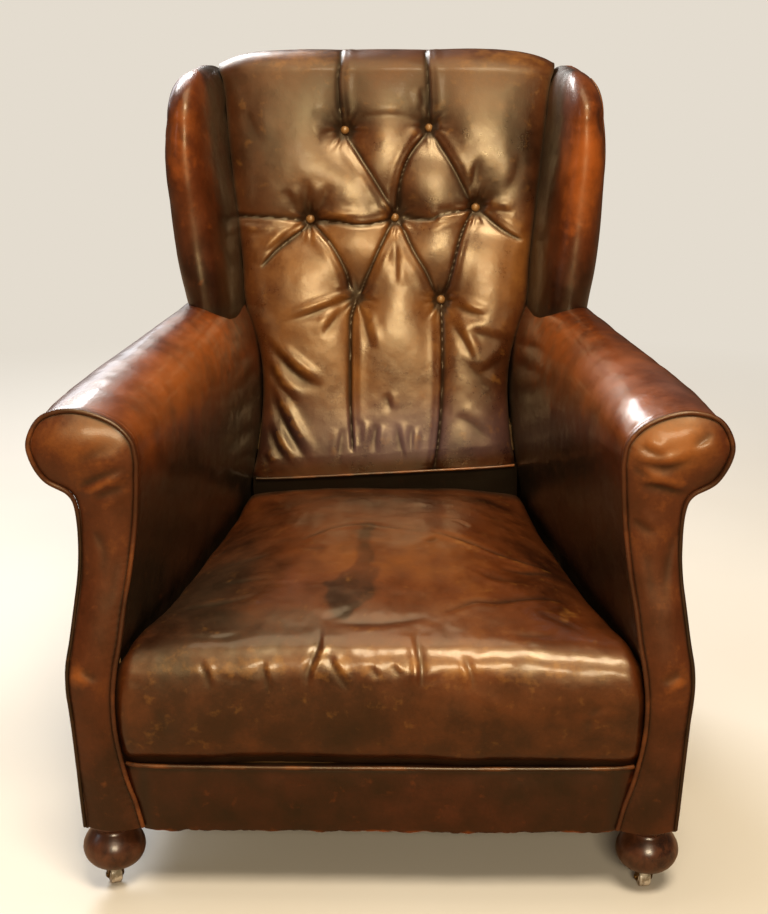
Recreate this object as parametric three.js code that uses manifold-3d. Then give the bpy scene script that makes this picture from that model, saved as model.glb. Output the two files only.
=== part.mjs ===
// Worn club chair: a small wing-backed armchair in old brown leather, with rolled arms,
// a button-tufted back, a sprung seat, and turned bun feet on castors.
// Millimetres, +Z up. The sitter faces -Y. Left (-X) and right (+X) are the viewer's.
// Heights are from the floor, and y is from the front plane of the arm facings.

import * as THREE from 'three';
import { mergeVertices } from 'three/addons/utils/BufferGeometryUtils.js';
import Module from 'manifold-3d';

const wasm = await Module();
wasm.setup();

// Overall depth, from the knees of the facings to the top of the outside back.
const KNEE_Y = -12;
const REAR_TOP_Y = 785;

// Clearance between two pieces that touch, and what a cutting copy grows by.
const GAP = 0.4;

// Leather thickness, and the depth of stuffing under the arm leather.
const LEATHER = 3;
const ARM_STUFFING = 18;

// Room between an arm and the wing that stands on it.
const WING_SEAM = 1.2;

// Heights: underside of the upholstery, seat welt, and the frame rails.
const BASE_Z = 104.6;
const WELT_Z = 193;
const RAIL_Z0 = 108.3;
const RAIL_Z1 = 185;

// The arms start behind the facings, which end at this plane.
const FACING_BACK_Y = 19.8;
const ARM_FRONT_Y = 20.2;
const ARM_LENGTH = 664;

// The inside back leans back from this line; the outside back leans less.
const BACK_FOOT_Z = 380;
const BACK_FOOT_Y = 540;
const BACK_LEAN = 0.24;
const BACK_THICKNESS = 48;
const BACK_TOP_Z = 984;
const BACK_TOP_DROP = 26;
const BACK_HALF_SPAN = 250;
const REAR_LEAN_Z = 350;
const REAR_FOOT_Y = 690;
const REAR_TOP_Z = 970;
const REAR_LEAN = (REAR_TOP_Y - REAR_FOOT_Y) / (REAR_TOP_Z - REAR_LEAN_Z);

// Frame timbers, as distances from the middle of the chair, y and heights. A post or a board
// is given at a few heights; a rail along the chair's depth is given at its two ends.
const FRONT_POST = [[RAIL_Z0, 314, 351], [560, 304, 333]];
const FRONT_POST_Y = [20.6, 70];
const BACK_POST = [
  [RAIL_Z0, 247, 282, 632, 682], [REAR_LEAN_Z, 247, 268, 636, 684], [905, 236, 256, 726, 768],
];
const ARM_RAIL = [[ARM_FRONT_Y + GAP, 324], [660, 238]];
const ARM_RAIL_HALF = 20;
const ARM_RAIL_Z = [562, 588];
const WING_BOARD = [
  [588.4, 252, 535, 243, 655], [700, 264, 520, 250, 683], [860, 284, 530, 250, 710],
  [905, 280, 560, 249, 718],
];
const WING_BOARD_HALF = 8;
const FRONT_RAIL = { half: 311.5, y: [20.6, 46] };
const BACK_RAIL = { half: 246.6, y: [640, 668] };
const SIDE_RAIL = [[70.4, 327, 352], [631.6, 258, 283]];
const LOWER_BACK_RAIL = { half: 262, y: [605, 642], z: [400, 440] };
const CREST_RAIL = { half: 235, y: [724, 752], z: [868, 905] };

// Straps under the seat, and the springs that stand on them: rows of y and their places.
const STRAP_HALF = 25;
const SEAT_STRAP_Z = [106.2, 107.9];
const SEAT_STRAP_Y = [24, 664];
const LENGTHWISE_STRAPS = [-184, -92, 0, 92, 184];
const CROSSWISE_STRAPS = [[130, 342.3], [290, 321.8], [450, 301.4], [590, 283.4]];
const SPRING_ROWS = [[130, 150], [290, 140], [450, 125]];
const SPRING = { turns: 3, stepsPerTurn: 6, waist: 25, flare: 12, wire: 2.2, sides: 4 };
const HESSIAN_Z = 301.2;
const HESSIAN_THICKNESS = 1.5;
const HESSIAN = [[-286, 50], [286, 50], [201, 512], [-201, 512]];
const DUST_COVER = [[-354, 22], [354, 22], [284, 684], [-284, 684]];
const DUST_COVER_THICKNESS = 1.2;

// Bun feet, with the castors under them. The two front castors stand turned.
const FEET = [
  { name: 'front_left', x: -334, y: 45, turn: 25 },
  { name: 'front_right', x: 334, y: 45, turn: 8 },
  { name: 'rear_left', x: -265, y: 650, turn: 0 },
  { name: 'rear_right', x: 265, y: 650, turn: 0 },
];
const STUD_RADIUS = 9;
const STUD_TOP_Z = 128;
const PINTLE_RADIUS = 4;
const PINTLE_BORE = 4.6;
const PINTLE_TOP_Z = 54;
const PINTLE_BORE_TOP_Z = 58;
const BUN_BOTTOM_Z = 33;
const CASTOR_TRAIL = 8;
const WHEEL_RADIUS = 12;
const WHEEL_WIDTH = 15;
const WHEEL_SIDES = 20;
const AXLE_RADIUS = 2;
const AXLE_BORE = 2.4;

// Buttons of the inside back (x, height), and the place of the one that is missing.
const BUTTONS = [
  [-60.8, 875], [62.4, 879.5],
  [-112.2, 748.9], [13.6, 752.1], [131.6, 767],
  [81.6, 634.6],
];
const BARE_TUFT = [-42, 637.2];
const BUTTON_RADIUS = 7;
const TUFT_DEPTH = 17;
const TUFT_SPREAD = 25;
const PLEAT_DEPTH = 7;
const PLEAT_SPREAD = 14;

// Places where the inside back's surface is worked out: columns and rows meet at the tufts.
const BACK_COLUMNS = [
  -250, -228, -206, -184, -160, -136, -112.2, -86, -60.8, -42, -24, -5, 13.6, 38, 62.4,
  81.6, 106, 131.6, 156, 180, 205, 228, 250,
];
const BACK_ROWS = [
  412, 441, 470, 499, 528, 557, 586, 612, 636, 658, 682, 706, 729, 750, 767, 790, 815, 838,
  858, 877, 897, 918,
];

// Each pleat runs between two places on the inside back (x, height).
const PLEATS = [
  [[-66, 984], BUTTONS[0]], [[62, 984], BUTTONS[1]],
  [BUTTONS[0], BUTTONS[3]], [BUTTONS[1], BUTTONS[3]], [BUTTONS[1], BUTTONS[4]],
  [[-214, 750], BUTTONS[2]], [BUTTONS[2], BUTTONS[3]], [BUTTONS[3], BUTTONS[4]],
  [BUTTONS[2], BARE_TUFT], [BUTTONS[3], BARE_TUFT],
  [BUTTONS[3], BUTTONS[5]], [BUTTONS[4], BUTTONS[5]],
  [BARE_TUFT, [-50, 384]], [BUTTONS[5], [76, 388]],
];

// Outline of an arm facing (distance from the middle of the chair, height): up the inner
// edge, round the scroll and down the outer edge.
const FACING_EDGE = [
  [290, 106], [297, 140], [306, 172], [313, 210], [316.5, 247], [316, 287], [311, 326],
  [304.5, 360], [298, 403], [290, 446], [282, 503], [277, 559], [276, 583], [282, 606],
  [305, 626], [345, 637.5], [380, 630], [396, 606], [395, 583], [381, 556], [356, 539],
  [348, 518], [346.5, 476], [349, 438], [355, 398], [361, 360], [366.5, 330],
  [368.5, 298], [366.5, 256], [365, 210], [363, 148], [361, 106],
];

// Section of an arm at its front and near its back, in the same form: from the crevice
// beside the seat, over the roll, to the neck under it.
const ARM_FRONT_SECTION = [
  [298, 328], [304.5, 360], [298, 403], [290, 446], [282, 503], [277, 559], [276, 583],
  [282, 606], [305, 626], [345, 637.5], [380, 630], [396, 606], [395, 583], [381, 556],
  [354, 540],
];
const ARM_BACK_SECTION = [
  [197, 330], [191, 360], [185, 400], [180, 446], [179, 503], [183, 550], [190, 585],
  [199, 613], [213, 637], [235, 650], [262, 647], [281, 624], [284, 592], [279, 566],
  [268, 552],
];
const ARM_SECTION_SPACING = 580;

// Outside arm: distance from the middle at given heights, at the front and at the rear.
const OUTSIDE_FRONT = [
  [104.6, 361], [210, 364], [298, 368], [330, 366], [360, 361], [398, 355], [438, 349.5],
  [476, 347.5], [534, 347.5],
];
const OUTSIDE_REAR = [
  [104.6, 290], [210, 291], [298, 291], [330, 290], [360, 288], [398, 285], [438, 281],
  [476, 279], [546, 271],
];

// Half width of the inside back between the arms and the wings.
const BACK_HALF_WIDTH = [
  [360, 203], [420, 191], [466, 185.5], [512, 183], [545, 185], [590, 195], [619, 205],
  [690, 212], [750, 218], [800, 224], [850, 230], [900, 235], [925, 238], [945, 242],
  [962, 247], [990, 250],
];

// Wing: distance of its outer face from the middle, and y of its front edge. The right one
// stands out further over its arm. Above the dome's foot the section shrinks to its crown.
const WING_OUTER = [
  [590, 272], [650, 281], [690, 290], [740, 298], [790, 303], [850, 307], [885, 305],
  [900, 303],
];
const WING_FRONT = [[590, 484], [650, 480], [740, 488], [850, 497], [900, 503]];
const WING_FLARE = { left: 0, right: 10, topZ: 820, depth: 230 };
const WING_SECTION = [
  [0, 0.1], [0.04, 0.3], [0.1, 0.55], [0.2, 0.76], [0.34, 0.92], [0.53, 0.995], [0.73, 0.98],
  [0.89, 0.895], [0.975, 0.77], [1, 0.64],
];
const WING_DOME = { foot: 900, top: 963, a: 266, y: 600, power: 2.3 };
const WING_LEVELS = [590, 640, 700, 760, 820, 870, 900, 919, 935, 948, 957.5, 962.4];

// Seat cover, from its front hem up and back: y, height in the middle, height at the
// sides, and half width.
const SEAT_ROWS = [
  [3, 197, 197, 308], [-3, 226, 226, 310], [-6.5, 258, 257, 311], [-6.5, 286, 284, 309.5],
  [-3.5, 308, 304, 307], [2, 326, 320, 304.5], [11, 340, 332, 301.5], [24, 350.5, 339.5, 298.5],
  [46, 359.5, 341.5, 295],
  [85, 374, 340, 287.6], [140, 387, 336, 277.4], [200, 396, 333, 266.3],
  [270, 399, 332, 253.3], [340, 395, 334, 240.4], [410, 387, 338, 227.4],
  [470, 377, 347, 216.3], [520, 367, 356, 207],
];
const SEAT_COLUMNS = [-1, -0.93, -0.8, -0.6, -0.3, 0, 0.3, 0.6, 0.8, 0.93, 1];

// Front face of the facings and of the border between them: y at given heights.
const FACING_FRONT = [
  [104, 2], [200, -2], [270, -8], [330, KNEE_Y], [390, -4], [450, 5], [520, 8],
  [590, 0], [640, 6],
];
const WELT_RADIUS = 3;

const leather = (colour, roughness) => new THREE.MeshStandardMaterial({
  color: colour, roughness, metalness: 0,
});
const MATERIALS = {
  leather: leather(0x4a2a1a, 0.38),
  worn: leather(0x7d4a2b, 0.45),
  seat: leather(0x6d4630, 0.42),
  button: leather(0xa87446, 0.4),
  beech: new THREE.MeshStandardMaterial({ color: 0xb78a5a, roughness: 0.7, metalness: 0 }),
  dark_wood: new THREE.MeshStandardMaterial({ color: 0x2a1710, roughness: 0.3, metalness: 0 }),
  jute: new THREE.MeshStandardMaterial({ color: 0x9a7d52, roughness: 0.95, metalness: 0 }),
  hair: new THREE.MeshStandardMaterial({ color: 0x4b3a2a, roughness: 1, metalness: 0 }),
  cloth: new THREE.MeshStandardMaterial({ color: 0x1c1b1a, roughness: 0.95, metalness: 0 }),
  brass: new THREE.MeshStandardMaterial({ color: 0x7d6236, roughness: 0.4, metalness: 0.9 }),
  ceramic: new THREE.MeshStandardMaterial({ color: 0xd9d3c4, roughness: 0.3, metalness: 0 }),
};

const lerp = THREE.MathUtils.lerp;
const chair = new THREE.Group();

// Value at a place in a table of [place, value] rows, in straight steps.
function graded(table, place) {
  const last = table.length - 1;
  if (place <= table[0][0]) return table[0][1];
  if (place >= table[last][0]) return table[last][1];
  const k = table.findIndex((row) => row[0] > place);
  const [p0, v0] = table[k - 1];
  const [p1, v1] = table[k];
  return lerp(v0, v1, (place - p0) / (p1 - p0));
}

const insideBackY = (z) => BACK_FOOT_Y + (z - BACK_FOOT_Z) * BACK_LEAN;
const outsideBackY = (z) => REAR_FOOT_Y + Math.max(0, z - REAR_LEAN_Z) * REAR_LEAN;
const backHalfWidth = (z) => graded(BACK_HALF_WIDTH, z);
const facingY = (z) => graded(FACING_FRONT, z);

// Turns points and triangles into a closed solid with its faces pointing out.
function solidFrom(points, triangles) {
  const [a, b, c] = [new THREE.Vector3(), new THREE.Vector3(), new THREE.Vector3()];
  let volume = 0;
  for (const [i, j, k] of triangles) {
    a.fromArray(points[i]);
    b.fromArray(points[j]);
    c.fromArray(points[k]);
    volume += a.dot(b.cross(c));
  }
  const facing = volume < 0 ? triangles.map(([i, j, k]) => [i, k, j]) : triangles;
  const geometry = new THREE.BufferGeometry();
  geometry.setAttribute('position', new THREE.Float32BufferAttribute(points.flat(), 3));
  geometry.setIndex(facing.flat());
  return solidOf(geometry);
}

// A three.js geometry as a solid that can be joined and cut.
function solidOf(geometry) {
  const bare = geometry.clone();
  bare.deleteAttribute('normal');
  bare.deleteAttribute('uv');
  const merged = mergeVertices(bare, 1e-3);
  const index = merged.index.array;
  const kept = [];
  for (let i = 0; i < index.length; i += 3) {
    const [p, q, r] = [index[i], index[i + 1], index[i + 2]];
    if (p !== q && q !== r && r !== p) kept.push(p, q, r);
  }
  return new wasm.Manifold(new wasm.Mesh({
    numProp: 3,
    vertProperties: new Float32Array(merged.attributes.position.array),
    triVerts: new Uint32Array(kept),
  }));
}

// Names a solid, gives it a material and hangs it in a group.
function add(name, solid, material, parent = chair) {
  const mesh = solid.getMesh();
  const geometry = new THREE.BufferGeometry();
  geometry.setAttribute('position', new THREE.BufferAttribute(mesh.vertProperties, 3));
  geometry.setIndex(new THREE.BufferAttribute(mesh.triVerts, 1));
  geometry.computeVertexNormals();
  const piece = new THREE.Mesh(geometry, material.clone());
  piece.name = name;
  parent.add(piece);
  return piece;
}

// Triangles that close a ring of points, seen along the axis that is left out.
function capTriangles(ring, axes) {
  const flat = ring.map((p) => new THREE.Vector2(p[axes[0]], p[axes[1]]));
  const faces = THREE.ShapeUtils.triangulateShape(flat, []);
  const ringTurn = Math.sign(THREE.ShapeUtils.area(flat));
  let faceTurn = 0;
  for (const face of faces) faceTurn += THREE.ShapeUtils.area(face.map((i) => flat[i]));
  return Math.sign(faceTurn) === ringTurn ? faces : faces.map(([i, j, k]) => [i, k, j]);
}

// Solid through rings of equal count; its two ends are closed, seen along the given axes.
function loft(rings, axes) {
  const count = rings[0].length;
  const triangles = [];
  for (let r = 0; r + 1 < rings.length; r += 1) {
    for (let i = 0; i < count; i += 1) {
      const a = r * count + i;
      const b = r * count + (i + 1) % count;
      triangles.push([a, b, b + count], [a, b + count, a + count]);
    }
  }
  const end = (rings.length - 1) * count;
  for (const [i, j, k] of capTriangles(rings[0], axes)) triangles.push([i, k, j]);
  for (const [i, j, k] of capTriangles(rings[rings.length - 1], axes)) {
    triangles.push([end + i, end + j, end + k]);
  }
  return solidFrom(rings.flat(), triangles);
}

// Solid between two grids of points with the same rows and columns.
function slab(front, back) {
  const rows = front.length;
  const columns = front[0].length;
  const other = rows * columns;
  const at = (r, c) => r * columns + c;
  const triangles = [];
  const quad = (a, b, c, d) => triangles.push([a, b, c], [a, c, d]);
  for (let r = 0; r + 1 < rows; r += 1) {
    for (let c = 0; c + 1 < columns; c += 1) {
      const [p, q, s, t] = [at(r, c), at(r, c + 1), at(r + 1, c + 1), at(r + 1, c)];
      quad(p, q, s, t);
      quad(other + p, other + t, other + s, other + q);
    }
  }
  const rim = [];
  for (let c = 0; c < columns; c += 1) rim.push(at(0, c));
  for (let r = 1; r < rows; r += 1) rim.push(at(r, columns - 1));
  for (let c = columns - 2; c >= 0; c -= 1) rim.push(at(rows - 1, c));
  for (let r = rows - 2; r > 0; r -= 1) rim.push(at(r, 0));
  rim.forEach((p, i) => {
    const q = rim[(i + 1) % rim.length];
    quad(p, other + p, other + q, q);
  });
  return solidFrom([...front.flat(), ...back.flat()], triangles);
}

// The same grid moved along its own normals.
function offsetGrid(grid, distance) {
  const vector = (p) => new THREE.Vector3(...p);
  return grid.map((row, r) => row.map((point, c) => {
    const across = vector(row[Math.min(c + 1, row.length - 1)]);
    across.sub(vector(row[Math.max(c - 1, 0)]));
    const along = vector(grid[Math.min(r + 1, grid.length - 1)][c]);
    along.sub(vector(grid[Math.max(r - 1, 0)][c]));
    const normal = across.cross(along).normalize();
    return vector(point).addScaledVector(normal, distance).toArray();
  }));
}

// A straight timber whose section changes evenly between two heights, or two depths.
// Each end is [low a, high a, low b, high b] at its place along the run.
function timberUp(ends) {
  const rings = ends.map(([z, x0, x1, y0, y1]) => [
    [x0, y0, z], [x1, y0, z], [x1, y1, z], [x0, y1, z],
  ]);
  return loft(rings, [0, 1]);
}
function timberBack(ends) {
  const rings = ends.map(([y, x0, x1, z0, z1]) => [
    [x0, y, z0], [x1, y, z0], [x1, y, z1], [x0, y, z1],
  ]);
  return loft(rings, [0, 2]);
}
function block(x0, x1, y0, y1, z0, z1) {
  const box = new THREE.BoxGeometry(x1 - x0, y1 - y0, z1 - z0);
  box.translate((x0 + x1) / 2, (y0 + y1) / 2, (z0 + z1) / 2);
  return solidOf(box);
}

// A turned solid about +Z, from a profile of [radius, height] points.
function turned(profile, sides) {
  const points = profile.map(([radius, height]) => new THREE.Vector2(radius, height));
  const geometry = new THREE.LatheGeometry(points, sides);
  geometry.rotateX(Math.PI / 2);
  return solidOf(geometry);
}

// A round cord or wire along a smooth curve.
function rod(points, radius, sides, steps) {
  const section = new THREE.Shape();
  for (let i = 0; i < sides; i += 1) {
    const angle = (i / sides) * 2 * Math.PI;
    const [x, y] = [radius * Math.cos(angle), radius * Math.sin(angle)];
    if (i === 0) section.moveTo(x, y);
    else section.lineTo(x, y);
  }
  const path = new THREE.CatmullRomCurve3(points.map((p) => new THREE.Vector3(...p)));
  const settings = { steps, bevelEnabled: false, extrudePath: path };
  return solidOf(new THREE.ExtrudeGeometry(section, settings));
}

// A flat cloth with the given corners.
function flatCloth(corners, z, thickness) {
  const sheetAt = (height) => corners.map(([x, y]) => [x, y, height]);
  return loft([sheetAt(z), sheetAt(z + thickness)], [0, 1]);
}

// Cuts every tool out of a solid.
function cut(solid, ...tools) {
  return tools.reduce((rest, tool) => rest.subtract(tool), solid);
}

// Frame timbers. Those that upholstery is cut for can be asked for slightly grown.
function grownEnds(rows, grow) {
  return rows.map(([place, ...rest], i) => {
    const past = i === 0 ? -grow : 0;
    return [place + (i === rows.length - 1 ? grow : past), ...rest];
  });
}
function frontPost(s, grow = 0) {
  const [y0, y1] = FRONT_POST_Y;
  return timberUp(grownEnds(FRONT_POST, grow).map(([z, a0, a1]) => [
    z, s * (a0 - grow), s * (a1 + grow), y0 - grow, y1 + grow,
  ]));
}
function backPost(s, grow = 0) {
  return timberUp(grownEnds(BACK_POST, grow).map(([z, a0, a1, y0, y1]) => [
    z, s * (a0 - grow), s * (a1 + grow), y0 - grow, y1 + grow,
  ]));
}
function armRail(s, grow = 0) {
  const half = ARM_RAIL_HALF + grow;
  const [z0, z1] = ARM_RAIL_Z;
  return timberBack(grownEnds(ARM_RAIL, grow).map(([y, a]) => [
    y, s * (a - half), s * (a + half), z0 - grow, z1 + grow,
  ]));
}
function wingBoard(s, grow = 0) {
  const half = WING_BOARD_HALF + grow;
  return loft(grownEnds(WING_BOARD, grow).map(([z, frontA, frontY, rearA, rearY]) => [
    [s * (frontA - half), frontY - grow, z], [s * (frontA + half), frontY - grow, z],
    [s * (rearA + half), rearY + grow, z], [s * (rearA - half), rearY + grow, z],
  ]), [0, 1]);
}
function crossRail({ half, y, z = [RAIL_Z0, RAIL_Z1] }, grow = 0) {
  return block(-half - grow, half + grow, y[0] - grow, y[1] + grow, z[0] - grow, z[1] + grow);
}

// The hole for the stud of a foot, open below.
function studBore(foot) {
  const radius = STUD_RADIUS + GAP;
  const [z0, z1] = [BASE_Z - 4.6, STUD_TOP_Z + 2];
  const bore = turned([[0, z0], [radius, z0], [radius, z1], [0, z1]], 12);
  return bore.translate([foot.x, foot.y, 0]);
}

function addFrame() {
  const wood = MATERIALS.beech;
  add('front_rail', crossRail(FRONT_RAIL), wood);
  add('back_rail', crossRail(BACK_RAIL), wood);
  add('lower_back_rail', crossRail(LOWER_BACK_RAIL), wood);
  add('crest_rail', crossRail(CREST_RAIL), wood);
  for (const [side, s] of [['left', -1], ['right', 1]]) {
    const [frontStud, rearStud] = FEET.filter((foot) => Math.sign(foot.x) === s).map(studBore);
    add(`front_post_${side}`, cut(frontPost(s), frontStud), wood);
    add(`back_post_${side}`, cut(backPost(s), rearStud), wood);
    add(`side_rail_${side}`, timberBack(SIDE_RAIL.map(([y, a0, a1]) => [
      y, s * a0, s * a1, RAIL_Z0, RAIL_Z1,
    ])), wood);
    add(`arm_rail_${side}`, cut(armRail(s), frontPost(s, GAP), backPost(s, GAP)), wood);
    add(`wing_board_${side}`, cut(wingBoard(s), backPost(s, GAP)), wood);
  }
}

// Straps of webbing, and nine hourglass springs standing on them.
function spring(x, y, z0, z1) {
  const { turns, stepsPerTurn, waist, flare, wire, sides } = SPRING;
  const steps = turns * stepsPerTurn;
  const points = [];
  for (let i = 0; i <= steps; i += 1) {
    const t = i / steps;
    const angle = t * turns * 2 * Math.PI;
    const radius = waist + flare * Math.abs(2 * t - 1);
    const height = lerp(z0, z1, t);
    points.push([x + radius * Math.cos(angle), y + radius * Math.sin(angle), height]);
  }
  return rod(points, wire, sides, steps);
}
function addSeatSupport() {
  const [z0, z1] = SEAT_STRAP_Z;
  const [y0, y1] = SEAT_STRAP_Y;
  const straps = LENGTHWISE_STRAPS.map((x) => block(x - STRAP_HALF, x + STRAP_HALF, y0, y1, z0, z1));
  for (const [y, half] of CROSSWISE_STRAPS) {
    straps.push(block(-half, half, y - STRAP_HALF, y + STRAP_HALF, z0, z1));
  }
  const foot = z1 + SPRING.wire / 2;
  const head = HESSIAN_Z - SPRING.wire - GAP;
  for (const [y, spread] of SPRING_ROWS) {
    for (const x of [-spread, 0, spread]) straps.push(spring(x, y, foot, head));
  }
  add('seat_springs', straps.reduce((mat, part) => mat.add(part)), MATERIALS.jute);
  add('spring_hessian', flatCloth(HESSIAN, HESSIAN_Z, HESSIAN_THICKNESS), MATERIALS.jute);
}

// Seat cover: crowned in the middle, low along the arms, pulled down over the front.
function seatGrid() {
  return SEAT_ROWS.map(([y, middle, sides, half]) => SEAT_COLUMNS.map((u) => {
    const z = lerp(sides, middle, 1 - Math.abs(u) ** 2.6);
    const tuck = y < 9 ? 4 * Math.abs(u) ** 6 : 0;
    return [u * half, y + tuck, z];
  }));
}
function addSeat() {
  const top = seatGrid();
  add('seat_cover', slab(top, offsetGrid(top, -LEATHER)), MATERIALS.seat);
  const under = offsetGrid(top, -LEATHER - GAP);
  const inset = 0.985;
  const rings = SEAT_COLUMNS.map((u, c) => {
    const ring = under.map((row) => [row[c][0] * inset, row[c][1], row[c][2]]);
    ring[0][2] = 199;
    ring.push([u * 200 * inset, 516, HESSIAN_Z + 2]);
    ring.push([u * 290 * inset, 50, HESSIAN_Z + 2]);
    ring.push([u * 300 * inset, 48, 199]);
    return ring;
  });
  add('seat_stuffing', loft(rings, [1, 2]), MATERIALS.hair);
}

// Border under the seat, and the welt along its top.
function addBorder() {
  const heights = [BASE_Z, 122, 145, 168, 189];
  const columns = [-1, -0.9, -0.6, -0.3, 0, 0.3, 0.6, 0.9, 1];
  const inner = FACING_EDGE.slice(0, 7).map(([a, z]) => [z, a]);
  const front = heights.map((z) => columns.map((u) => {
    const crown = 3 * (1 - Math.abs(u) ** 4);
    return [u * (graded(inner, z) - 4), 3 - crown, z];
  }));
  const back = front.map((row) => row.map(([x, , z]) => [x, FACING_BACK_Y, z]));
  add('front_border', slab(front, back), MATERIALS.leather);
  const path = [-1, -0.75, -0.4, 0, 0.4, 0.75, 1].map((u) => [u * 305, 2 - 2 * (1 - u * u), WELT_Z]);
  add('seat_welt', rod(path, WELT_RADIUS, 8, 14), MATERIALS.leather);
}

// A facing is a padded panel inside a piped edge.
function edgePoint(curve, t, inset) {
  const point = curve.getPoint(t);
  const tangent = curve.getTangent(t);
  return [point.x + tangent.y * inset, point.y - tangent.x * inset];
}
function addFacing(side, s) {
  const curve = new THREE.SplineCurve(FACING_EDGE.map((p) => new THREE.Vector2(...p)));
  const count = 40;
  const ring = (inset, depth) => {
    const points = [];
    for (let i = 0; i <= count; i += 1) {
      const [a, z] = edgePoint(curve, i / count, inset);
      const height = Math.max(z, BASE_Z + inset - 4);
      points.push([s * a, depth(height), height]);
    }
    return points;
  };
  add(`arm_facing_${side}`, loft([
    ring(5, () => FACING_BACK_Y),
    ring(5, (z) => facingY(z) + 5),
    ring(12, (z) => facingY(z)),
  ], [0, 2]), MATERIALS.leather);
  const welt = FACING_EDGE.map(([a, z]) => [s * a, facingY(z) + 5, z + (z < 110 ? 2 : 0)]);
  add(`facing_welt_${side}`, rod(welt, WELT_RADIUS, 5, 40), MATERIALS.worn);
}

// Arms. How far a section has changed from the front one to the back one: evenly on the
// inside, and later on the outside of the roll.
function armBlend(t, outerShare) {
  const even = Math.min(t, 1);
  const late = 0.5 * even ** 1.3 + 0.5 * even * even * (3 - 2 * even);
  return lerp(even, late, outerShare) + 0.6 * Math.max(0, t - 1);
}
function armPoint(s, run, along, inset) {
  const t = (run * ARM_LENGTH) / ARM_SECTION_SPACING;
  const last = ARM_FRONT_SECTION.length - 1;
  const section = new THREE.SplineCurve(ARM_FRONT_SECTION.map(([a, z], k) => {
    const blend = armBlend(t, k / last);
    const [backA, backZ] = ARM_BACK_SECTION[k];
    return new THREE.Vector2(lerp(a, backA, blend), lerp(z, backZ, blend));
  }));
  const [a, z] = edgePoint(section, along, inset);
  const rearY = outsideBackY(z) - 6;
  return [s * a, lerp(ARM_FRONT_Y, rearY, run), z];
}
const ARM_RUNS = [0, 0.13, 0.3, 0.48, 0.66, 0.84, 1];
const ARM_SAMPLES = 16;
function armBand(s, inset0, inset1) {
  const grid = (inset) => ARM_RUNS.map((run) => {
    const row = [];
    for (let i = 0; i <= ARM_SAMPLES; i += 1) {
      row.push(armPoint(s, run, i / ARM_SAMPLES, inset));
    }
    return row;
  });
  return slab(grid(inset0), grid(inset1));
}
function armEnvelope(s) {
  const pastTheRear = 1.1;
  return loft([...ARM_RUNS, pastTheRear].map((run) => {
    const ring = [];
    for (let i = 0; i <= ARM_SAMPLES; i += 1) {
      ring.push(armPoint(s, run, i / ARM_SAMPLES, -WING_SEAM));
    }
    return ring;
  }), [0, 2]);
}

// The space between the sides of the inside back, from one depth to another.
function betweenSides(grow, frontY, rearY) {
  const heights = BACK_HALF_WIDTH.map((row) => row[0]);
  const grid = (y) => heights.map((z) => [-1, 1].map((u) => [
    u * (backHalfWidth(z) + grow), y(z), z,
  ]));
  return slab(grid(frontY), grid(rearY));
}
const BEHIND_ALL = () => REAR_TOP_Y + 100;
const backEnvelope = () => betweenSides(GAP, (z) => insideBackY(z) - GAP, BEHIND_ALL);

function addArm(side, s) {
  const tools = [
    backEnvelope(), backPost(s, GAP), wingBoard(s, GAP), crossRail(LOWER_BACK_RAIL, GAP),
  ];
  const cover = cut(armBand(s, 0, LEATHER), ...tools);
  add(`arm_cover_${side}`, cover, MATERIALS.leather);
  const skin = LEATHER + GAP;
  const stuffing = armBand(s, skin, skin + ARM_STUFFING);
  add(`arm_stuffing_${side}`, cut(
    stuffing, ...tools, frontPost(s, GAP), armRail(s, GAP),
  ), MATERIALS.hair);

  const heights = OUTSIDE_FRONT.map((row) => row[0]);
  const panel = heights.map((z, r) => [0, 0.25, 0.5, 0.75, 1].map((run) => {
    const a = lerp(OUTSIDE_FRONT[r][1], OUTSIDE_REAR[r][1], run);
    const rearZ = OUTSIDE_REAR[r][0];
    const height = lerp(z, rearZ, run);
    const y = lerp(ARM_FRONT_Y, outsideBackY(height) - 6, run);
    return [s * a, y, height];
  }));
  const inner = panel.map((row) => row.map(([x, y, z]) => [x - s * LEATHER, y, z]));
  add(`outside_arm_${side}`, slab(panel, inner), MATERIALS.leather);
}

// Wings stand on the arms beside the back, with a rounded front and a domed top.
function wingRing(side, s, z) {
  const at = Math.min(z, WING_DOME.foot);
  const flare = WING_FLARE[side] * Math.min(1, Math.max(0, (WING_FLARE.topZ - at) / WING_FLARE.depth));
  const inner = backHalfWidth(at) + GAP;
  const across = (share) => lerp(inner, graded(WING_OUTER, at) + flare, share);
  const front = graded(WING_FRONT, at);
  const rear = outsideBackY(at) - 6;
  const section = [
    [across(0), rear],
    [across(0), insideBackY(at) + 20],
    ...WING_SECTION.map(([share, proud]) => [across(share), lerp(insideBackY(at), front, proud)]),
    [across(0.92), front + 100],
    [across(0.8), rear - 40],
    [across(0.72), rear],
  ];
  const rise = Math.max(0, (z - WING_DOME.foot) / (WING_DOME.top - WING_DOME.foot));
  const size = (1 - rise ** WING_DOME.power) ** (1 / WING_DOME.power);
  const draw = (y) => (y > WING_DOME.y ? size ** 0.35 : size);
  return section.map(([a, y]) => [s * lerp(WING_DOME.a, a, size), lerp(WING_DOME.y, y, draw(y)), z]);
}
function addWing(side, s) {
  const pad = cut(
    loft(WING_LEVELS.map((z) => wingRing(side, s, z)), [0, 1]),
    backEnvelope(), armEnvelope(s), backPost(s, GAP), wingBoard(s, GAP),
    crossRail(CREST_RAIL, GAP),
  );
  add(`wing_pad_${side}`, pad, MATERIALS.leather);
}

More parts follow.
